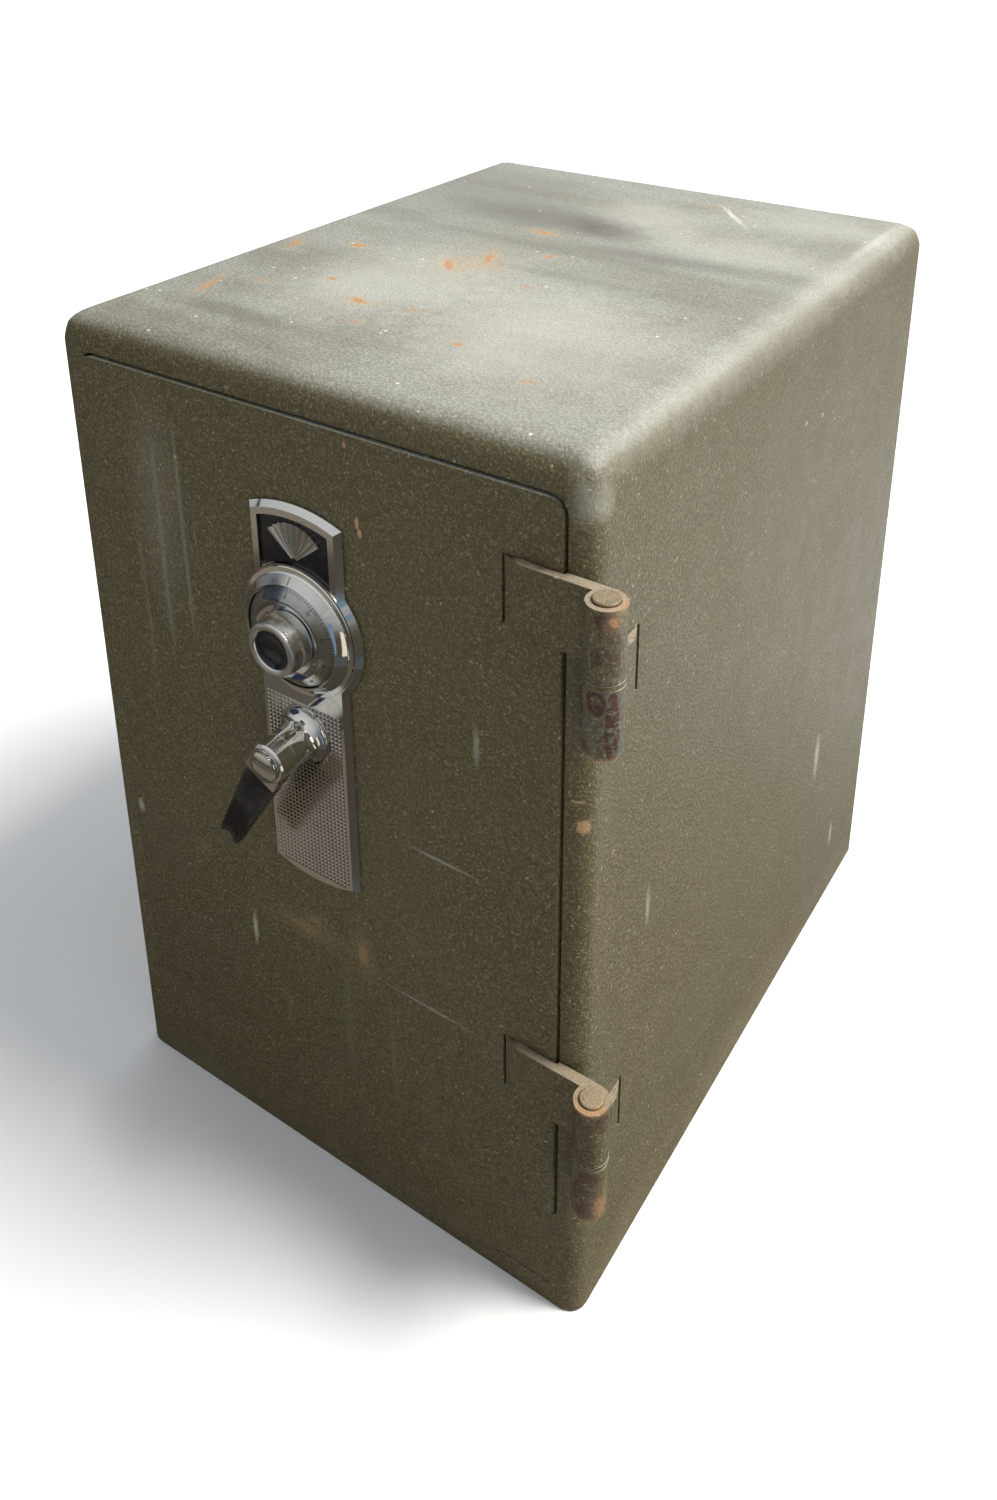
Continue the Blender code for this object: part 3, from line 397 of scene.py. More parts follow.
# Pale marks on the top and right side. Two are painted highlights: the long strip along the top
# right edge and the patch on the front top right corner.
TOP_PALES_AND_HIGHLIGHTS = [
    ((0.018, 0.161, TOP), (0.05, 0.035, 0.02), 0.3, 0.3),
    ((0.078, 0.202, TOP), (0.0022, 0.03, 0.02), 0.65, -0.73),
    ((0.07, 0.212, TOP), (0.0012, 0.012, 0.02), 0.6, -0.55),
    ((0.205, 0.19, TOP - 0.002), (0.003, 0.045, 0.02), 0.35, 0.0),
    # painted highlight along the top right edge
    ((0.212, 0.02, TOP - 0.006), (0.013, 0.33, 0.016), 0.22, 0.0),
    ((0.12, 0.11, TOP), (0.085, 0.034, 0.02), 0.24, 0.1),
    ((0.14, 0.215, TOP), (0.07, 0.04, 0.02), 0.24, 0.0),
    ((0.11, -0.15, TOP), (0.09, 0.08, 0.02), 0.26, 0.3),
    ((-0.06, -0.1, TOP), (0.06, 0.085, 0.02), 0.34, 0.3),
    ((0.06, -0.11, TOP), (0.06, 0.08, 0.02), 0.18, -0.2),
    ((0.22, 0.137, 0.215), (0.01, 0.005, 0.02), 0.3, 0.0),
    ((0.22, 0.204, 0.076), (0.01, 0.003, 0.012), 0.3, 0.0),
    ((0.22, -0.197, 0.314), (0.01, 0.0025, 0.014), 0.25, 0.0),
    # painted highlight on the front top right corner
    ((0.212, -0.272, 0.655), (0.01, 0.01, 0.012), 0.3, 0.0),
]
TOP_DARKS = [
    ((-0.062, 0.112, TOP), (0.075, 0.03, 0.02), 0.66, 0.0),
    ((0.004, 0.108, TOP), (0.036, 0.022, 0.02), 0.95, 0.2),
    ((0.1, 0.06, TOP), (0.095, 0.013, 0.02), 0.48, -0.1),
    ((0.000, 0.035, TOP), (0.15, 0.008, 0.02), 0.3, 0.05),
    ((0.06, -0.02, TOP), (0.11, 0.007, 0.02), 0.22, 0.02),
    ((-0.115, -0.213, TOP), (0.058, 0.011, 0.02), 0.55, 0.02),
    ((-0.15, 0.16, TOP), (0.09, 0.09, 0.02), 0.3, 0.4),
    ((0.22, 0.19, 0.08), (0.02, 0.06, 0.075), 0.35, 0.0),
]
DOOR_RUSTS = [
    ((0.038, -0.2835, 0.243), (0.004, 0.01, 0.01), 0.26, 0.0),
    ((-0.015, -0.2835, 0.237), (0.015, 0.01, 0.004), 0.18, 0.0),
    ((-0.006, -0.2835, 0.249), (0.004, 0.01, 0.003), 0.18, 0.0),
    ((-0.12, -0.2835, 0.262), (0.003, 0.01, 0.003), 0.15, 0.0),
]
DOOR_CHIPS = [
    ((0.052, -0.2835, 0.5975), (0.0016, 0.01, 0.0042), 0.75, 0.0),
    ((0.054, -0.2835, 0.5905), (0.0016, 0.01, 0.0032), 0.75, 0.0),
    ((0.045, -0.2835, 0.649), (0.001, 0.01, 0.0024), 0.7, 0.0),
]
DOOR_PALES = [
    ((-0.07, -0.2835, 0.207), (0.0022, 0.01, 0.013), 0.38, 0.0),
    ((0.112, -0.2835, 0.363), (0.024, 0.01, 0.0012), 0.22, 0.0),
    ((0.14, -0.2835, 0.467), (0.0022, 0.01, 0.012), 0.22, 0.0),
    ((0.096, -0.2835, 0.226), (0.03, 0.01, 0.0012), 0.16, 0.0),
    ((-0.188, -0.2835, 0.269), (0.0028, 0.01, 0.005), 0.36, 0.0),
    ((-0.13, -0.2835, 0.56), (0.02, 0.01, 0.07), 0.06, 0.0),
]
DOOR_STREAKS = [
    (-0.106, 0.44, 0.64, 0.003, 0.26), (-0.129, 0.42, 0.625, 0.0042, 0.22),
    (-0.152, 0.38, 0.56, 0.003, 0.14), (-0.094, 0.5, 0.59, 0.0022, 0.1),
    (0.02, 0.105, 0.24, 0.006, 0.08), (0.062, 0.1, 0.21, 0.004, 0.1),
    (-0.04, 0.1, 0.19, 0.005, 0.07), (0.1, 0.1, 0.18, 0.006, 0.07),
]
UPPER, LOWER = (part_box("hinge_strap_" + level)[1].z for level in ("upper", "lower"))
STRAP_UPPER_RUSTS = [
    ((0.243, -0.3012, UPPER - 0.007), (0.0022, 0.003, 0.003), 0.6, 0.0),
    ((0.246, -0.29, UPPER), (0.003, 0.008, 0.0012), 0.6, 0.0),
    ((0.162, -0.289, UPPER - 0.048), (0.002, 0.004, 0.0012), 0.6, 0.0),
]
STRAP_UPPER_WORN = [
    ((0.24, -0.304, UPPER - 0.006), (0.007, 0.005, 0.006), 0.85, 0.0),
    ((0.2345, -0.3056, UPPER - 0.03), (0.003, 0.004, 0.005), 0.75, 0.0),
    ((0.243, -0.301, UPPER - 0.03), (0.003, 0.006, 0.022), 0.35, 0.0),
]
LEAF_UPPER_RUSTS = [
    ((0.24, -0.299, UPPER - 0.0984), (0.012, 0.012, 0.0016), 0.75, 0.0),
    ((0.2235, -0.26, UPPER - 0.068), (0.005, 0.002, 0.006), 0.45, 0.0),
]
LEAF_UPPER_WORN = [
    ((0.235, -0.3056, UPPER - 0.059), (0.006, 0.005, 0.008), 1.0, 0.0),
    ((0.2435, -0.3005, UPPER - 0.076), (0.0036, 0.005, 0.023), 1.0, 0.0),
    ((0.228, -0.3035, UPPER - 0.092), (0.005, 0.005, 0.005), 0.6, 0.0),
]
STRAP_LOWER_RUSTS = [
    ((0.234, -0.302, LOWER), (0.012, 0.01, 0.0012), 0.45, 0.0),
    ((0.162, -0.289, LOWER - 0.048), (0.002, 0.004, 0.0012), 0.5, 0.0),
]
STRAP_LOWER_WORN = [
    ((0.234, -0.3056, LOWER - 0.02), (0.01, 0.006, 0.026), 0.4, 0.0),
    ((0.245, -0.2985, LOWER - 0.008), (0.005, 0.006, 0.009), 0.85, 0.0),
]
LEAF_LOWER_RUSTS = [
    ((0.242, -0.299, LOWER - 0.0984), (0.013, 0.012, 0.002), 0.65, 0.0),
    ((0.245, -0.2985, LOWER - 0.085), (0.004, 0.006, 0.009), 0.35, 0.0),
]
LEAF_LOWER_WORN = [
    ((0.24, -0.304, LOWER - 0.074), (0.011, 0.008, 0.026), 0.75, 0.0),
    ((0.225, -0.26, LOWER - 0.064), (0.008, 0.01, 0.01), 0.75, 0.0),
]
PIN_RUSTS = [
    ((0.234, -0.2936, UPPER + 0.0008), (0.0084, 0.0084, 0.0007), 0.35, 0.0),
    ((0.24, -0.2936, LOWER + 0.0008), (0.005, 0.0084, 0.001), 0.55, 0.0),
]

def hinge_paint(name, rusts=(), worn_parts=(), bare_top=0.0, slate_sheen_and_wear=0.0):
    """The enamel of the hinges, which carries no dusting and no painted top highlight."""
    return paint(name, rusts, dust_and_highlight=0.0, worn_parts=worn_parts, bare_top=bare_top, slate_sheen_and_wear=slate_sheen_and_wear)


LOOKS = {
    "body": paint("paint_body", TOP_RUSTS, TOP_PALES_AND_HIGHLIGHTS, TOP_DARKS, BODY_CHIPS),
    # the door's dusting on upward faces paints the highlight along its top edge
    "door": paint("paint_door", DOOR_RUSTS, DOOR_PALES, (), DOOR_CHIPS, 1.0, DOOR_STREAKS),
    # where a hinge look has a second number, it sets the grey barrel patches, partly a painted
    # blue-grey sheen
    "strap_upper": hinge_paint("paint_strap_upper", STRAP_UPPER_RUSTS, STRAP_UPPER_WORN,
                               0.85, 0.35),
    "strap_lower": hinge_paint("paint_strap_lower", STRAP_LOWER_RUSTS, STRAP_LOWER_WORN, 0.60),
    "leaf_upper": hinge_paint("paint_leaf_upper", LEAF_UPPER_RUSTS, LEAF_UPPER_WORN, 0.95, 0.85),
    "leaf_lower": hinge_paint("paint_leaf_lower", LEAF_LOWER_RUSTS, LEAF_LOWER_WORN, 0.70, 0.40),
    "pin": hinge_paint("paint_pin", PIN_RUSTS, (), 0.50),
    "chrome": metal("chrome_polished", (0.80, 0.78, 0.73), 0.055, 0.22, 0.0, (1, 1, 1), 0.35),
    "flange": flange_metal("flange_plate"),
    "chrome_cap": metal("chrome_cap", (0.78, 0.78, 0.77), 0.04, 0.10),
    "satin": metal("satin_plate", (0.86, 0.83, 0.77), 0.30, 0.16, 0.20),
    "knurl": metal("knurled_plate", (0.84, 0.83, 0.79), 0.24, 0.10, 0.08),
    "emblem": metal("emblem_pewter", (0.66, 0.63, 0.57), 0.28, 0.35, 0.10),
    "grid": metal("grid_plate", (0.64, 0.59, 0.52), 0.16, 0.30, 0.10),
    "steel": metal("mild_steel", (0.40, 0.39, 0.37), 0.32, 0.35, 0.5, (1, 1, 9)),
    "bolt": metal("bolt_steel", (0.55, 0.54, 0.52), 0.20, 0.25, 0.4, (9, 1, 1)),
    "washer": hinge_paint("paint_washer"),
    "rubbed": metal("rubbed_edge", (0.60, 0.56, 0.47), 0.38, 0.45, 0.2),
    "screw": metal("screw_steel", (0.30, 0.28, 0.24), 0.42, 0.65, 0.4),
    "brass": metal("wheel_brass", (0.62, 0.47, 0.22), 0.25, 0.35, 0.3),
    "black": plastic("black_gloss", (0.010, 0.010, 0.012), 0.08, 0.02),
    "window": plastic("black_enamel", (0.006, 0.006, 0.008), 0.10, 0.05),
    "grip": plastic("grip_black", (0.013, 0.011, 0.010), 0.38, 0.18),
    "ink": plastic("ink_black", (0.010, 0.010, 0.010), 0.50, 0.02),
    "lining": enamel("lining_grey", (0.30, 0.31, 0.28)),
    "shade": enamel("frame_grey", (0.20, 0.20, 0.18)),
    "fill": cast("fire_filling", (0.60, 0.58, 0.52)),
}
NODE_LOOKS = {
    "body_shell": "body", "back_panel": "body", "base_pan": "shade", "badge_plate": "body",
    "door_skin": "door", "hinge_strap_upper": "strap_upper", "hinge_strap_lower": "strap_lower",
    "hinge_leaf_upper": "leaf_upper", "hinge_leaf_lower": "leaf_lower",
    "hinge_pin_upper": "pin", "hinge_pin_lower": "pin",
    "hinge_washer_upper": "washer", "hinge_washer_lower": "washer",
    "door_frame": "shade", "inner_liner": "lining", "shelf": "lining", "door_inner_pan": "lining",
    "bolt_cover": "lining", "body_insulation": "fill", "door_insulation": "fill",
    "lock_plate": "chrome", "dial_ring": "chrome", "dial_flange": "flange", "dial_knob": "knurl",
    "handle_hub": "chrome", "handle_cap": "chrome_cap", "handle_grip": "grip",
    "dial_insert": "black", "window_panel": "window", "fan_emblem": "emblem",
    "index_segment": "satin", "handle_bush": "brass",
    "drive_cam": "brass", "wheel_1": "brass", "wheel_2": "brass", "wheel_3": "brass",
    "lock_bolt_1": "bolt", "lock_bolt_2": "bolt", "lock_bolt_3": "bolt", "blocking_bolt": "brass",
}


def smoothing_group():
    """Geometry nodes that shade smooth below a given edge angle."""
    group = bpy.data.node_groups.new("smooth_by_angle", "GeometryNodeTree")
    group.interface.new_socket("Geometry", in_out="INPUT", socket_type="NodeSocketGeometry")
    group.interface.new_socket("Angle", in_out="INPUT", socket_type="NodeSocketFloat")
    group.interface.new_socket("Geometry", in_out="OUTPUT", socket_type="NodeSocketGeometry")
    add = group.nodes.new
    source, result = add("NodeGroupInput"), add("NodeGroupOutput")
    faces, edges = add("GeometryNodeSetShadeSmooth"), add("GeometryNodeSetShadeSmooth")
    faces.domain, edges.domain = "FACE", "EDGE"
    edges.inputs["Shade Smooth"].default_value = False
    angle, compare = add("GeometryNodeInputMeshEdgeAngle"), add("FunctionNodeCompare")
    compare.data_type, compare.operation = "FLOAT", "GREATER_THAN"
    link = group.links.new
    link(source.outputs["Geometry"], faces.inputs["Geometry"])
    link(faces.outputs["Geometry"], edges.inputs["Geometry"])
    link(angle.outputs["Unsigned Angle"], compare.inputs[0])
    link(source.outputs["Angle"], compare.inputs[1])
    link(compare.outputs[0], edges.inputs["Selection"])
    link(edges.outputs["Geometry"], result.inputs["Geometry"])
    return group


SMOOTHING = smoothing_group()
SMOOTH_ANGLE = 33.0
WELD_DISTANCE = 1e-6


def soften(item, degrees=SMOOTH_ANGLE, weld=True):
    """Smooth shading up to an angle. A CAD mesh is welded first, because its faces are separate."""
    if weld:
        item.modifiers.new("weld", "WELD").merge_threshold = WELD_DISTANCE
    shade = item.modifiers.new("shade", "NODES")
    shade.node_group = SMOOTHING
    socket = [s for s in SMOOTHING.interface.items_tree if s.name == "Angle"][0].identifier
    shade[socket] = math.radians(degrees)


def coat(item, look):
    """Gives an object one of the looks as its only material."""
    item.data.materials.clear()
    item.data.materials.append(LOOKS[look])


for node_name, node_object in NODES.items():
    coat(node_object, NODE_LOOKS.get(node_name, "steel"))
    soften(node_object)

# ---------------------------------------------------------------- pieces


def piece(name, points, faces, body, look, replaced=(), smooth=None):
    """A visual piece on one body, in place of the replaced CAD nodes if any are named."""
    mesh = bpy.data.meshes.new(name)
    mesh.from_pydata([tuple(p) for p in points], [], faces)
    mesh.validate()
    item = bpy.data.objects.new(name, mesh)
    link_to_scene(item)
    coat(item, look)
    if smooth is not None:
        soften(item, smooth, False)
    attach(item, body)
    if replaced:
        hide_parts(*replaced)
    return item


def lathe(name, height, profile, count, body, look, replaced=(), ripple=None,
          smooth=SMOOTH_ANGLE):
    """A turned form about the lock's axis at that height, closed at both ends.

    profile holds (radius, distance in front) pairs, and ripple(angle, row) is added to the radius.
    """
    points, faces = [], []
    rows = len(profile)
    for step in range(count):
        turn = 2 * math.pi * step / count
        for row, (radius, distance) in enumerate(profile):
            r = radius + (ripple(turn, row) if ripple else 0.0)
            points.append((LOCK_X + r * math.cos(turn), out(distance), height + r * math.sin(turn)))
    for step in range(count):
        a, b = step * rows, (step + 1) % count * rows
        for row in range(rows - 1):
            faces.append((a + row, b + row, b + row + 1, a + row + 1))
    faces.append([step * rows for step in range(count)][::-1])
    faces.append([step * rows + rows - 1 for step in range(count)])
    return piece(name, points, faces, body, look, replaced, smooth)


def on_cone(low, high, radius, turn, lift=0.0):
    """A point on a cone given by two (radius, distance) ends, lifted off its surface."""
    share = (radius - low[0]) / (high[0] - low[0])
    distance = low[1] + share * (high[1] - low[1])
    slope = Vector((high[1] - low[1], low[0] - high[0])).normalized()
    radius += lift * slope.x
    distance += lift * slope.y
    return (LOCK_X + radius * math.cos(turn), out(distance), DIAL_Z + radius * math.sin(turn))


STRIP_LIFT, STRIP_SINK = 0.05 * MM, 0.12 * MM
BOX_SIDES = ((0, 1, 2, 3), (7, 6, 5, 4), (0, 4, 5, 1), (1, 5, 6, 2), (2, 6, 7, 3), (3, 7, 4, 0))


def cone_strips(name, low, high, strips, body, look):
    """Thin raised strips along a cone, each given as (angle, inner radius, outer radius, width)."""
    points, faces = [], []
    for turn, inner, outer, width in strips:
        first = len(points)
        for depth in (-STRIP_SINK, STRIP_LIFT):
            for radius, sign in ((inner, -1), (outer, -1), (outer, 1), (inner, 1)):
                points.append(on_cone(low, high, radius, turn + sign * width / 2 / radius, depth))
        for quad in BOX_SIDES:
            faces.append([first + corner for corner in quad])
    return piece(name, points, faces, body, look)


# dial graduations and numerals, with nought at the top
DIAL_NUMBERS = 100
TICK_RADIUS, NUMERAL_RADIUS = 36.1 * MM, 31.6 * MM


def dial_angle(number):
    return math.pi / 2 - 2 * math.pi * number / DIAL_NUMBERS


ticks = []
for number in range(DIAL_NUMBERS):
    length = 2.9 if number % 10 == 0 else 2.3 if number % 5 == 0 else 1.6
    width = 0.50 if number % 10 == 0 else 0.36
    ticks.append((dial_angle(number), TICK_RADIUS - length * MM, TICK_RADIUS, width * MM))
cone_strips("dial_graduations", CONE_LOW, CONE_HIGH, ticks, "dial", "ink")


def numeral(number):
    """A number of the dial, wrapped on its cone, as mesh points and faces."""
    curve = bpy.data.curves.new("numeral", "FONT")
    curve.body, curve.size = str(number), 3.3 * MM
    curve.align_x, curve.align_y = "CENTER", "CENTER"
    curve.resolution_u = 3
    curve.extrude, curve.offset = 0.04 * MM, 0.03 * MM
    holder = bpy.data.objects.new("numeral", curve)
    link_to_scene(holder)
    solid = holder.evaluated_get(bpy.context.evaluated_depsgraph_get())
    mesh = bpy.data.meshes.new_from_object(solid)
    points = []
    for vertex in mesh.vertices:
        x, y, z = vertex.co
        radius, turn = NUMERAL_RADIUS + 0.83 * y, dial_angle(number) - x / NUMERAL_RADIUS
        points.append(on_cone(CONE_LOW, CONE_HIGH, radius, turn, z + 0.02 * MM))
    faces = [list(polygon.vertices) for polygon in mesh.polygons]
    bpy.data.objects.remove(holder)
    bpy.data.curves.remove(curve)
    bpy.data.meshes.remove(mesh)
    return points, faces


digits, digit_faces = [], []
for number in range(0, DIAL_NUMBERS, 10):
    more, shapes = numeral(number)
    digit_faces += [[corner + len(digits) for corner in face] for face in shapes]
    digits += more
piece("dial_numerals", digits, digit_faces, "dial", "ink")
index_strip = (math.pi / 2, 38.6 * MM, 43.5 * MM, 0.55 * MM)
cone_strips("index_line", SEGMENT_LOW, SEGMENT_HIGH, [index_strip], "door", "ink")

# knob with a crossed knurl
KNURL_COUNT, KNURL_ROWS = 128, 15
KNURL_HIGH, KNURL_DEEP = 0.45 * MM, -0.25 * MM
knob_profile = [(5.0 * MM, 16.8 * MM), (20.4 * MM, 16.8 * MM), (20.5 * MM, 17.2 * MM),
                (20.4 * MM, 18.1 * MM)]
knurl_first = len(knob_profile)
for row in range(KNURL_ROWS):
    share = row / (KNURL_ROWS - 1)
    knob_profile.append(((20.3 - 1.0 * share) * MM, (18.3 + 13.7 * share) * MM))
knurl_last = len(knob_profile) - 1
knob_profile += [(19.4 * MM, 32.4 * MM), (19.7 * MM, 33.0 * MM), (19.6 * MM, 33.6 * MM),
                 (18.9 * MM, 34.2 * MM), (17.6 * MM, 34.6 * MM), (16.0 * MM, 34.5 * MM),
                 (14.6 * MM, 34.0 * MM), (14.1 * MM, 33.3 * MM), (14.0 * MM, 28.0 * MM),
                 (5.0 * MM, 28.0 * MM)]


def knurling(turn, row):
    """Every other point of the knurled rows stands out."""
    if not knurl_first <= row <= knurl_last:
        return 0.0
    step = round(turn * KNURL_COUNT / (2 * math.pi))
    return KNURL_HIGH if (step + row) % 2 == 0 else KNURL_DEEP


lathe("dial_knob_knurled", DIAL_Z, knob_profile, KNURL_COUNT, "dial", "knurl",
      ["dial_knob"], knurling, 12.0)
ROUND_COUNT = 72
insert = [(0.2 * MM, 28.4 * MM), (13.75 * MM, 28.4 * MM), (13.75 * MM, 33.0 * MM),
          (13.2 * MM, 33.2 * MM), (12.4 * MM, 32.4 * MM), (10.0 * MM, 31.2 * MM),
          (6.0 * MM, 30.3 * MM), (0.2 * MM, 29.9 * MM)]
lathe("dial_insert_dished", DIAL_Z, insert, ROUND_COUNT, "dial", "black", ["dial_insert"])

# the joint line round the handle's hub
joint = [(14.35 * MM, 32.2 * MM), (14.72 * MM, 32.3 * MM), (14.75 * MM, 32.55 * MM),
         (14.72 * MM, 32.8 * MM), (14.35 * MM, 32.9 * MM)]
lathe("hub_joint", HANDLE_Z, joint, ROUND_COUNT, "handle", "chrome")


def lever(along, across, distance):
    """A point of the lever, which hangs to the left of straight down."""
    down = Vector((-math.sin(LEVER_ANGLE), 0, -math.cos(LEVER_ANGLE)))
    right = Vector((math.cos(LEVER_ANGLE), 0, -math.sin(LEVER_ANGLE)))
    spot = Vector((LOCK_X, 0, HANDLE_Z)) + down * along + right * across
    spot.y = out(distance)
    return spot


def ring_line(name, centre, radius, body):
    """A thin worn bright ring round a hinge barrel."""
    points, faces = [], []
    count, sides = 72, 6
    for step in range(count):
        turn = 2 * math.pi * step / count
        for side in range(sides):
            angle = 2 * math.pi * side / sides
            r = radius + 0.22 * MM * math.cos(angle)
            points.append((centre[0] + r * math.cos(turn), centre[1] + r * math.sin(turn),
                           centre[2] + 0.28 * MM * math.sin(angle)))
    for step in range(count):
        for side in range(sides):
            a, b = step * sides, (step + 1) % count * sides
            n = (side + 1) % sides
            faces.append((a + side, b + side, b + n, a + n))
    piece(name, points, faces, body, "rubbed", (), 60.0)


for level in ("upper", "lower"):
    washer_low, washer_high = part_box("hinge_washer_" + level)
    middle = (washer_low + washer_high) / 2
    radius = (washer_high.x - washer_low.x) / 2
    for end, z in (("top", washer_high.z - 0.5 * MM), ("bottom", washer_low.z + 0.5 * MM)):
        ring_line("washer_line_" + level + "_" + end, (middle.x, middle.y, z), radius, "body")

RIBS, RIB_STEPS = 11, 4
RIB_HEIGHT = 0.65 * MM
RIB_SPAN = 0.90
GRIP_START, GRIP_END = 17.4 * MM, 93.4 * MM
GRIP_HALF_TOP, GRIP_HALF_END = 13.3, 8.8
NOTCH_RADIUS, NOTCH_DEPTH = 5.2 * MM, 4.4 * MM


def grip_section(share):
    """Points round the grip as (across share, distance), anticlockwise from the front left edge."""
    ridge = RIB_HEIGHT if 0.015 < share < 0.93 else 0.0
    front, back = 45.5 * MM - 1.0 * MM * share, 32.6 * MM + 2.4 * MM * share
    section = []
    count = RIBS * RIB_STEPS
    for step in range(count + 1):
        across = -RIB_SPAN + 2 * RIB_SPAN * step / count
        wave = ridge * (0.5 - 0.5 * math.cos(2 * math.pi * step / RIB_STEPS))
        section.append((across, front - ridge + wave - 0.5 * MM * across ** 4))
    section += [(0.975, front - 1.1 * MM), (1.0, front - 2.4 * MM),
                (1.0, back + 2.4 * MM), (0.97, back + 0.9 * MM)]
    for step in range(count + 1):
        across = RIB_SPAN - 2 * RIB_SPAN * step / count
        wave = ridge * (0.5 - 0.5 * math.cos(2 * math.pi * step / RIB_STEPS))
        section.append((across, back + ridge - wave + 0.3 * MM))
    section += [(-0.97, back + 0.9 * MM), (-1.0, back + 2.4 * MM),
                (-1.0, front - 2.4 * MM), (-0.975, front - 1.1 * MM)]
    return section


def make_grip():
    """The ribbed grip: a tapering section run along the lever, with a round notch in its end."""
    points, faces = [], []
    stations = [0.0, 0.012, 0.02] + [0.02 + 0.90 * k / 16 for k in range(1, 17)]
    stations += [0.935, 0.955, 0.985, 1.0]
    for share in stations:
        half = GRIP_HALF_TOP * MM + (GRIP_HALF_END - GRIP_HALF_TOP) * MM * share
        for across, distance in grip_section(share):
            x = across * half
            tip = GRIP_END
            if abs(x) < NOTCH_RADIUS:
                tip -= NOTCH_DEPTH * math.sqrt(max(0.0, 1 - (x / NOTCH_RADIUS) ** 2))
            along = GRIP_START + share * (tip - GRIP_START)
            points.append(lever(along, x, distance))
    ring = len(grip_section(0))
    for row in range(len(stations) - 1):
        for k in range(ring):
            a, b = row * ring + k, row * ring + (k + 1) % ring
            faces.append((a, a + ring, b + ring, b))
    flat = RIBS * RIB_STEPS + 1
    for base, flip in ((0, False), ((len(stations) - 1) * ring, True)):
        front_run = [base + k for k in range(flat)]
        back_run = [base + flat + 4 + flat - 1 - k for k in range(flat)]
        for k in range(flat - 1):
            quad = [front_run[k], front_run[k + 1], back_run[k + 1], back_run[k]]
            faces.append(quad[::-1] if flip else quad)
        right = [front_run[-1]] + [base + flat + k for k in range(4)] + [back_run[-1]]
        left = [back_run[0]] + [base + 2 * flat + 4 + k for k in range(4)] + [front_run[0]]
        for run in (right, left):
            faces.append(run[::-1] if flip else run)
    piece("handle_grip_ribbed", points, faces, "handle", "grip", ["handle_grip"], 40.0)


make_grip()

FLUTES, FLUTE_STEPS, FAN_ROWS = 9, 6, 10
FAN_FOOT = 555.5 * MM
FAN_INNER, FAN_BACK = 3.0 * MM, 6.22 * MM


def make_fan():
    """The window's ornament: a plain fluted fan."""
    points, faces = [], []
    columns = FLUTES * FLUTE_STEPS + 1
    foot = Vector((LOCK_X, 0, FAN_FOOT))
    for layer in range(2):
        for column in range(columns):
            turn = math.radians(142 - 104 * column / (columns - 1))
            swell = abs(math.sin(math.pi * column / FLUTE_STEPS))
            reach = (27.0 + 1.5 * swell) * MM
            for row in range(FAN_ROWS + 1):
                share = row / FAN_ROWS
                radius = FAN_INNER + (reach - FAN_INNER) * share
                distance = FAN_BACK
                if layer == 0:
                    relief = (0.15 + 1.45 * swell) * (0.30 + 0.70 * share) - 0.35 * share ** 6
                    distance = (6.75 + relief) * MM
                x, z = foot.x + radius * math.cos(turn), foot.z + radius * math.sin(turn)
                points.append((x, out(distance), z))
    rows = FAN_ROWS + 1
    half = columns * rows
    for column in range(columns - 1):
        for row in range(FAN_ROWS):
            a, b = column * rows + row, (column + 1) * rows + row
            faces.append((a, b, b + 1, a + 1))
            faces.append((half + a + 1, half + b + 1, half + b, half + a))
        for row, flip in ((0, False), (FAN_ROWS, True)):
            a, b = column * rows + row, (column + 1) * rows + row
            quad = (a, half + a, half + b, b)
            faces.append(quad[::-1] if flip else quad)
    for column, flip in ((0, True), (columns - 1, False)):
        for row in range(FAN_ROWS):
            a = column * rows + row
            quad = (a, half + a, half + a + 1, a + 1)
            faces.append(quad[::-1] if flip else quad)
    piece("fan_emblem_fluted", points, faces, "door", "emblem", ["fan_emblem"], 25.0)


make_fan()

PLATE_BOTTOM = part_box("lock_plate")[0].z
PYRAMID_HEIGHT = 0.70 * MM
HUB_CLEARANCE = 22.4 * MM
ARC_RISE, ARC_RADIUS = 105.0 * MM, 98.5 * MM


def make_grid():
    """Rows of raised pyramids on the lower plate, clear of the hub and the curved bottom."""
    left, right = LOCK_X - 33.0 * MM, LOCK_X + 32.6 * MM
    low, high = 302.0 * MM, 447.0 * MM
    columns = 20
    pitch = (right - left) / columns
    rows = round((high - low) / pitch)
    points, faces = [], []
    arc_centre = PLATE_BOTTOM + ARC_RISE
    for row in range(rows):
        for column in range(columns):
            x, z = left + column * pitch, high - (row + 1) * pitch
            middle = Vector((x + pitch / 2 - LOCK_X, 0, z + pitch / 2))
            if math.hypot(middle.x, middle.z - HANDLE_Z) < HUB_CLEARANCE:
                continue
            below = middle.z < arc_centre
            if below and math.hypot(middle.x, middle.z - arc_centre) > ARC_RADIUS:
                continue
            first = len(points)
            for dx, dz in ((0, 0), (1, 0), (1, 1), (0, 1)):
                points.append((x + dx * pitch, out(PLATE_FACE - 0.3 * MM), z + dz * pitch))
            for dx, dz in ((0.03, 0.03), (0.97, 0.03), (0.97, 0.97), (0.03, 0.97)):
                points.append((x + dx * pitch, out(PLATE_FACE + 0.02 * MM), z + dz * pitch))
            for dx, dz in ((0.40, 0.40), (0.60, 0.40), (0.60, 0.60), (0.40, 0.60)):
                points.append((x + dx * pitch, out(PLATE_FACE + PYRAMID_HEIGHT), z + dz * pitch))
            faces.append([first + k for k in (3, 2, 1, 0)])
            for base in (0, 4):
                for k in range(4):
                    n = (k + 1) % 4
                    quad = (base + k, base + n, base + 4 + n, base + 4 + k)
                    faces.append([first + corner for corner in quad])
            faces.append([first + k for k in (8, 9, 10, 11)])
    piece("plate_pyramids", points, faces, "door", "grid")


make_grid()

SLOT_HALF, SLOT_FLOOR = 0.15, 0.22


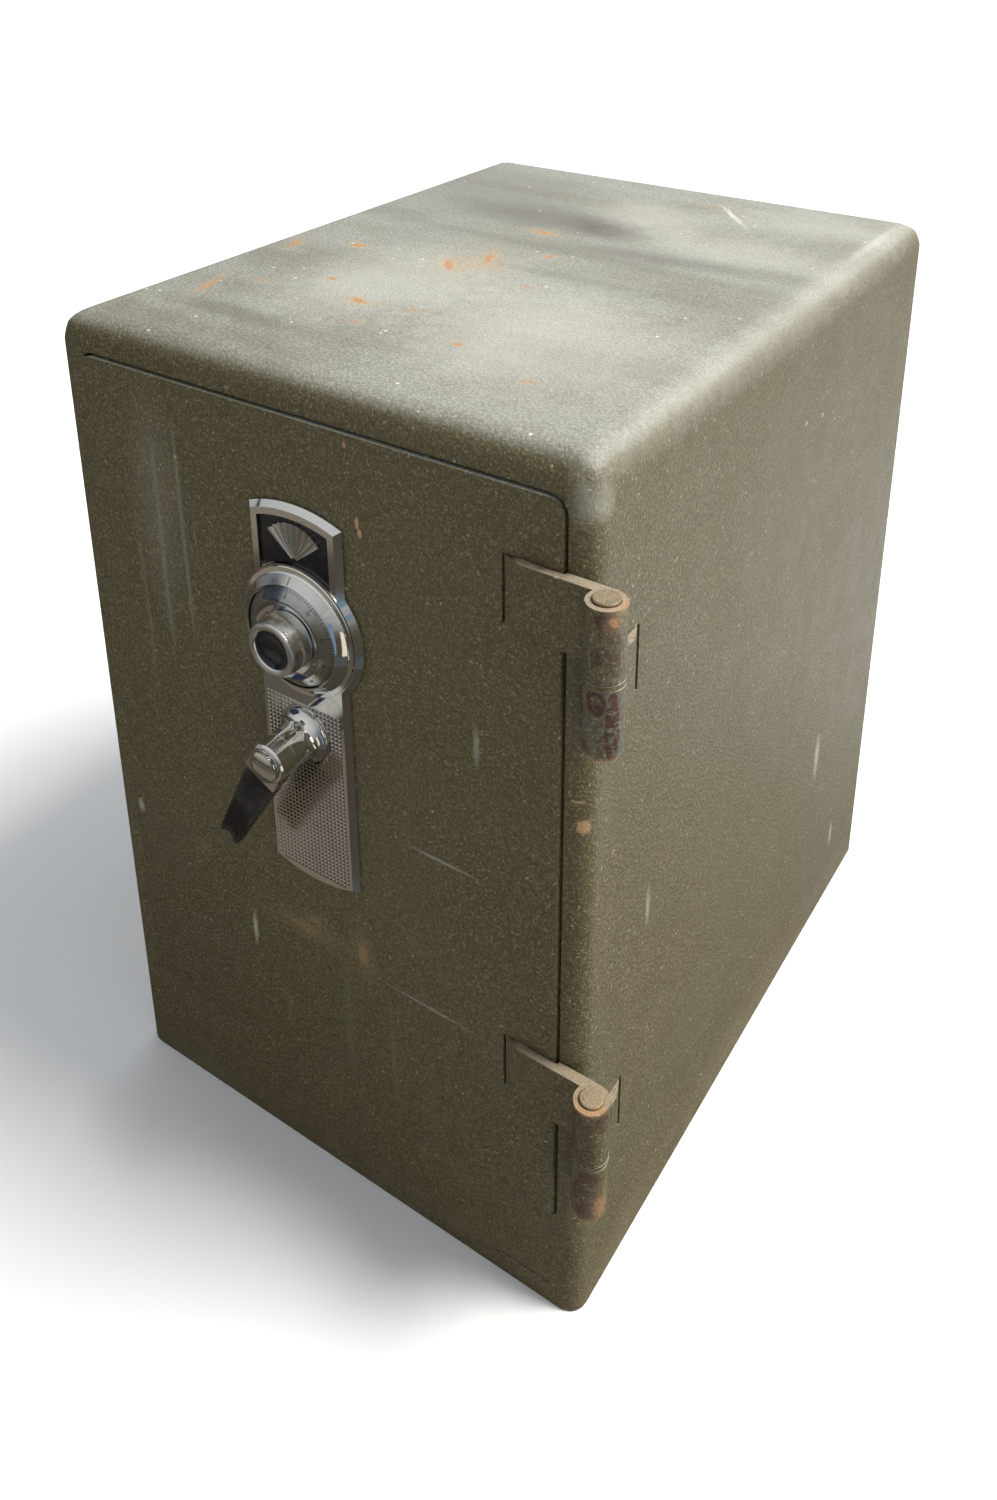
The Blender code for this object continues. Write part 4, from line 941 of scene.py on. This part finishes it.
def round_head_screw(name, place, facing, radius, body, look):
    """A slotted round-head screw whose head stands on the surface at place."""
    profile = [(1.0, 0.0), (1.0, 0.10), (0.93, 0.28), (0.75, 0.44), (0.50, 0.54), (0.24, 0.58)]
    count = 28
    points, faces = [], []
    facing = Vector(facing)
    across = facing.orthogonal().normalized()
    along = facing.cross(across)
    for r, h in profile:
        for step in range(count):
            turn = 2 * math.pi * (step + 0.5) / count
            u, v = r * radius * math.cos(turn), r * radius * math.sin(turn)
            height = h * radius
            if abs(v) < SLOT_HALF * radius and r < 0.99:
                height = min(height, SLOT_FLOOR * radius)
            points.append(Vector(place) + across * u + along * v + facing * height)
    rows = len(profile)
    for row in range(rows - 1):
        for step in range(count):
            n = (step + 1) % count
            a, b = row * count, (row + 1) * count
            faces.append((a + step, a + n, b + n, b + step))
    faces.append(list(range(count))[::-1])
    centre = len(points)
    points.append(Vector(place) + facing * SLOT_FLOOR * radius)
    last = (rows - 1) * count
    for step in range(count):
        faces.append((last + step, last + (step + 1) % count, centre))
    piece(name, points, faces, body, look, (), 35.0)


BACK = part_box("back_panel")
SCREW_RADIUS, SCREW_SINK = 4.0 * MM, 0.2 * MM
inset = 9.0 * MM
heights = [BACK[0].z + inset, (BACK[0].z + BACK[1].z) / 2, BACK[1].z - inset]
for column, x in enumerate((BACK[0].x + inset, 0.0, BACK[1].x - inset)):
    for row, z in enumerate(heights):
        if column == 1 and row == 1:
            continue
        round_head_screw("back_screw_%d_%d" % (column, row), (x, BACK[1].y - SCREW_SINK, z),
                         (0, 1, 0), SCREW_RADIUS, "body", "screw")

# ---------------------------------------------------------------- studio


def stage_plane(name, corners, material, glossy_only=False):
    """A flat sheet of the studio, which is no part of the object."""
    mesh = bpy.data.meshes.new(name)
    mesh.from_pydata(corners, [], [tuple(range(len(corners)))])
    item = bpy.data.objects.new(name, mesh)
    link_to_scene(item)
    item.data.materials.append(material)
    if glossy_only:
        item.visible_camera = item.visible_diffuse = item.visible_shadow = False
        item.visible_transmission = item.visible_volume_scatter = False
    return item


floor_graph = Graph("studio_floor", Roughness=0.9, Specular_IOR_Level=0.1)
floor_colour = floor_graph.mix(floor_graph.noise(3.0), (0.74, 0.74, 0.735), (0.76, 0.76, 0.755))
floor_graph.set(Base_Color=floor_colour)
FLOOR_HALF, FLOOR_Z = 14.0, -0.5 * MM
SQUARE = ((-1, -1), (1, -1), (1, 1), (-1, 1))
floor_corners = [(sx * FLOOR_HALF, sy * FLOOR_HALF, FLOOR_Z) for sx, sy in SQUARE]
floor = stage_plane("floor", floor_corners, floor_graph.material)
floor.visible_glossy = False


def softbox(name, place, target, size, power, colour, size_y=None):
    """An area light at a place, aimed at a target."""
    light = bpy.data.lights.new(name, "AREA")
    light.shape = "RECTANGLE"
    light.size, light.size_y = size, size_y or size
    light.energy, light.color = power, colour
    item = bpy.data.objects.new(name, light)
    item.location = place
    item.rotation_euler = (Vector(target) - Vector(place)).to_track_quat("-Z", "Y").to_euler()
    link_to_scene(item)


SUN_DIRECTION = Vector((0.57, 0.27, 0.78))
sun = bpy.data.lights.new("soft_sun", "SUN")
sun.energy, sun.angle, sun.color = 4.5, math.radians(26), (1.0, 0.985, 0.95)
sun_holder = bpy.data.objects.new("soft_sun", sun)
sun_holder.rotation_euler = SUN_DIRECTION.to_track_quat("Z", "Y").to_euler()
link_to_scene(sun_holder)
softbox("back_panel_light", (-1.4, 2.8, 2.0), (0, 0, 0.6), 2.8, 20, (0.94, 0.97, 1.0), 1.8)
softbox("back_right_light", (1.6, 2.6, 2.1), (0.1, 0, 0.6), 2.0, 30, (0.96, 0.98, 1.0), 1.6)
softbox("right_panel", (3.2, 0.5, 0.9), (0.2, 0, 0.35), 2.2, 22, (0.97, 0.98, 1.0), 1.6)
softbox("corner_light", (0.78, -0.08, 2.70), (0.2, -0.25, 0.65), 0.14, 6, (1.0, 0.99, 0.97))


def card(name, middle, facing, width, height, colour, strength):
    """A reflector that only mirror-like surfaces see."""
    material = bpy.data.materials.new(name)
    material.use_nodes = True
    nodes = material.node_tree.nodes
    nodes.clear()
    glow, end = nodes.new("ShaderNodeEmission"), nodes.new("ShaderNodeOutputMaterial")
    glow.inputs[0].default_value, glow.inputs[1].default_value = (*colour, 1), strength
    material.node_tree.links.new(glow.outputs[0], end.inputs[0])
    across = Vector(facing).cross(Vector((0, 0, 1))).normalized()
    up = across.cross(Vector(facing)).normalized()
    middle = Vector(middle)
    corners = [middle + across * sx * width / 2 + up * sz * height / 2
               for sx, sz in SQUARE]
    stage_plane(name, corners, material, True)


card("card_right", (1.7, -1.15, -0.15), (-1, 0.7, 0.2), 0.50, 1.4, (0.92, 0.86, 0.74), 1.0)
card("card_right_blue", (1.1, -1.75, 0.10), (-0.6, 1, 0), 0.34, 1.6, (0.20, 0.30, 0.42), 0.9)
card("card_left", (-1.7, -1.3, 0.95), (1, 0.8, 0), 1.1, 1.1, (0.03, 0.04, 0.07), 1.0)
card("card_low", (-0.75, -1.30, -0.50), (0.4, 1, 0.3), 1.0, 0.20, (0.40, 0.31, 0.25), 0.38)
card("card_front", (-0.90, -1.70, 0.06), (0.51, 0.78, 0.30), 1.3, 0.50, (0.62, 0.57, 0.49), 0.66)
card("card_mid", (-0.80, -1.60, -0.24), (0.51, 0.78, 0.30), 1.3, 0.16, (0.30, 0.27, 0.22), 0.80)
card("card_side", (1.7, 2.0, -0.55), (-0.6, -0.75, 0.3), 2.8, 1.8, (0.94, 0.97, 1.0), 1.6)
card("card_side_near", (2.2, 0.8, -0.9), (-0.9, -0.3, 0.5), 2.2, 1.4, (0.94, 0.96, 0.95), 1.9)
card("card_ground_left", (-0.30, -0.80, -0.20), (0.2, 0.4, 1), 1.0, 0.22, (0.34, 0.29, 0.23), 0.55)
card("card_ground_mid", (-0.30, -1.10, -0.15), (0.2, 0.4, 1), 1.0, 0.16, (0.22, 0.20, 0.17), 0.5)
card("card_ground_right", (0.55, -0.80, -0.20), (-0.5, 0.4, 1), 0.6, 0.30, (0.30, 0.32, 0.34), 0.30)

world = bpy.data.worlds.new("studio")
bpy.context.scene.world = world
world.use_nodes = True
tree = world.node_tree
tree.nodes.clear()
add = tree.nodes.new
ends = add("ShaderNodeOutputWorld")
soft = add("ShaderNodeBackground")
seen = add("ShaderNodeBackground")
either = add("ShaderNodeMixShader")
ray = add("ShaderNodeLightPath")
heading = add("ShaderNodeTexCoord")
parts = add("ShaderNodeSeparateXYZ")
level = add("ShaderNodeMapRange")
level.inputs["From Min"].default_value, level.inputs["From Max"].default_value = -1.0, 1.0
sky = add("ShaderNodeValToRGB")
SKY = [(0.0, (0.085, 0.074, 0.060)), (0.42, (0.120, 0.106, 0.085)), (0.495, (0.22, 0.20, 0.17)),
       (0.53, (0.34, 0.35, 0.36)), (0.70, (0.62, 0.66, 0.70)), (1.0, (0.95, 0.98, 1.0))]
while len(sky.color_ramp.elements) < len(SKY):
    sky.color_ramp.elements.new(0.5)
for stop, (position, shade) in zip(sky.color_ramp.elements, SKY):
    stop.position = position
    stop.color = (*shade, 1)
seen.inputs[0].default_value, seen.inputs[1].default_value = (0.93, 0.93, 0.925, 1), 1.0
soft.inputs[1].default_value = 0.75
link = tree.links.new
link(heading.outputs["Generated"], parts.inputs[0])
link(parts.outputs[2], level.inputs[0])
link(level.outputs[0], sky.inputs[0])
link(sky.outputs[0], soft.inputs[0])
link(ray.outputs["Is Camera Ray"], either.inputs[0])
link(soft.outputs[0], either.inputs[1])
link(seen.outputs[0], either.inputs[2])
link(either.outputs[0], ends.inputs[0])

LENS, SENSOR_WIDTH = 31.45, 36.0
CAMERA_SHIFT = (-0.0145, -0.270)
CAMERA_PLACE = (0.523921, -0.824737, 0.992978)
camera_data = bpy.data.cameras.new("camera")
camera_data.lens, camera_data.sensor_width, camera_data.sensor_fit = LENS, SENSOR_WIDTH, "AUTO"
camera_data.shift_x, camera_data.shift_y = CAMERA_SHIFT
camera_data.clip_start, camera_data.clip_end = 0.05, 60
camera = bpy.data.objects.new("camera", camera_data)
link_to_scene(camera)
RIGHT = Vector((0.83780061, 0.54597254, 0.0020324))
UP = Vector((-0.20016491, 0.3036876, 0.93150837))
TOWARD_CAMERA = Vector((0.50796078, -0.7808251, 0.3637142))
turned = Matrix((RIGHT, UP, TOWARD_CAMERA)).transposed().to_4x4()
turned.translation = CAMERA_PLACE
camera.matrix_world = turned
bpy.context.scene.camera = camera
bpy.context.scene.view_settings.view_transform = "Standard"
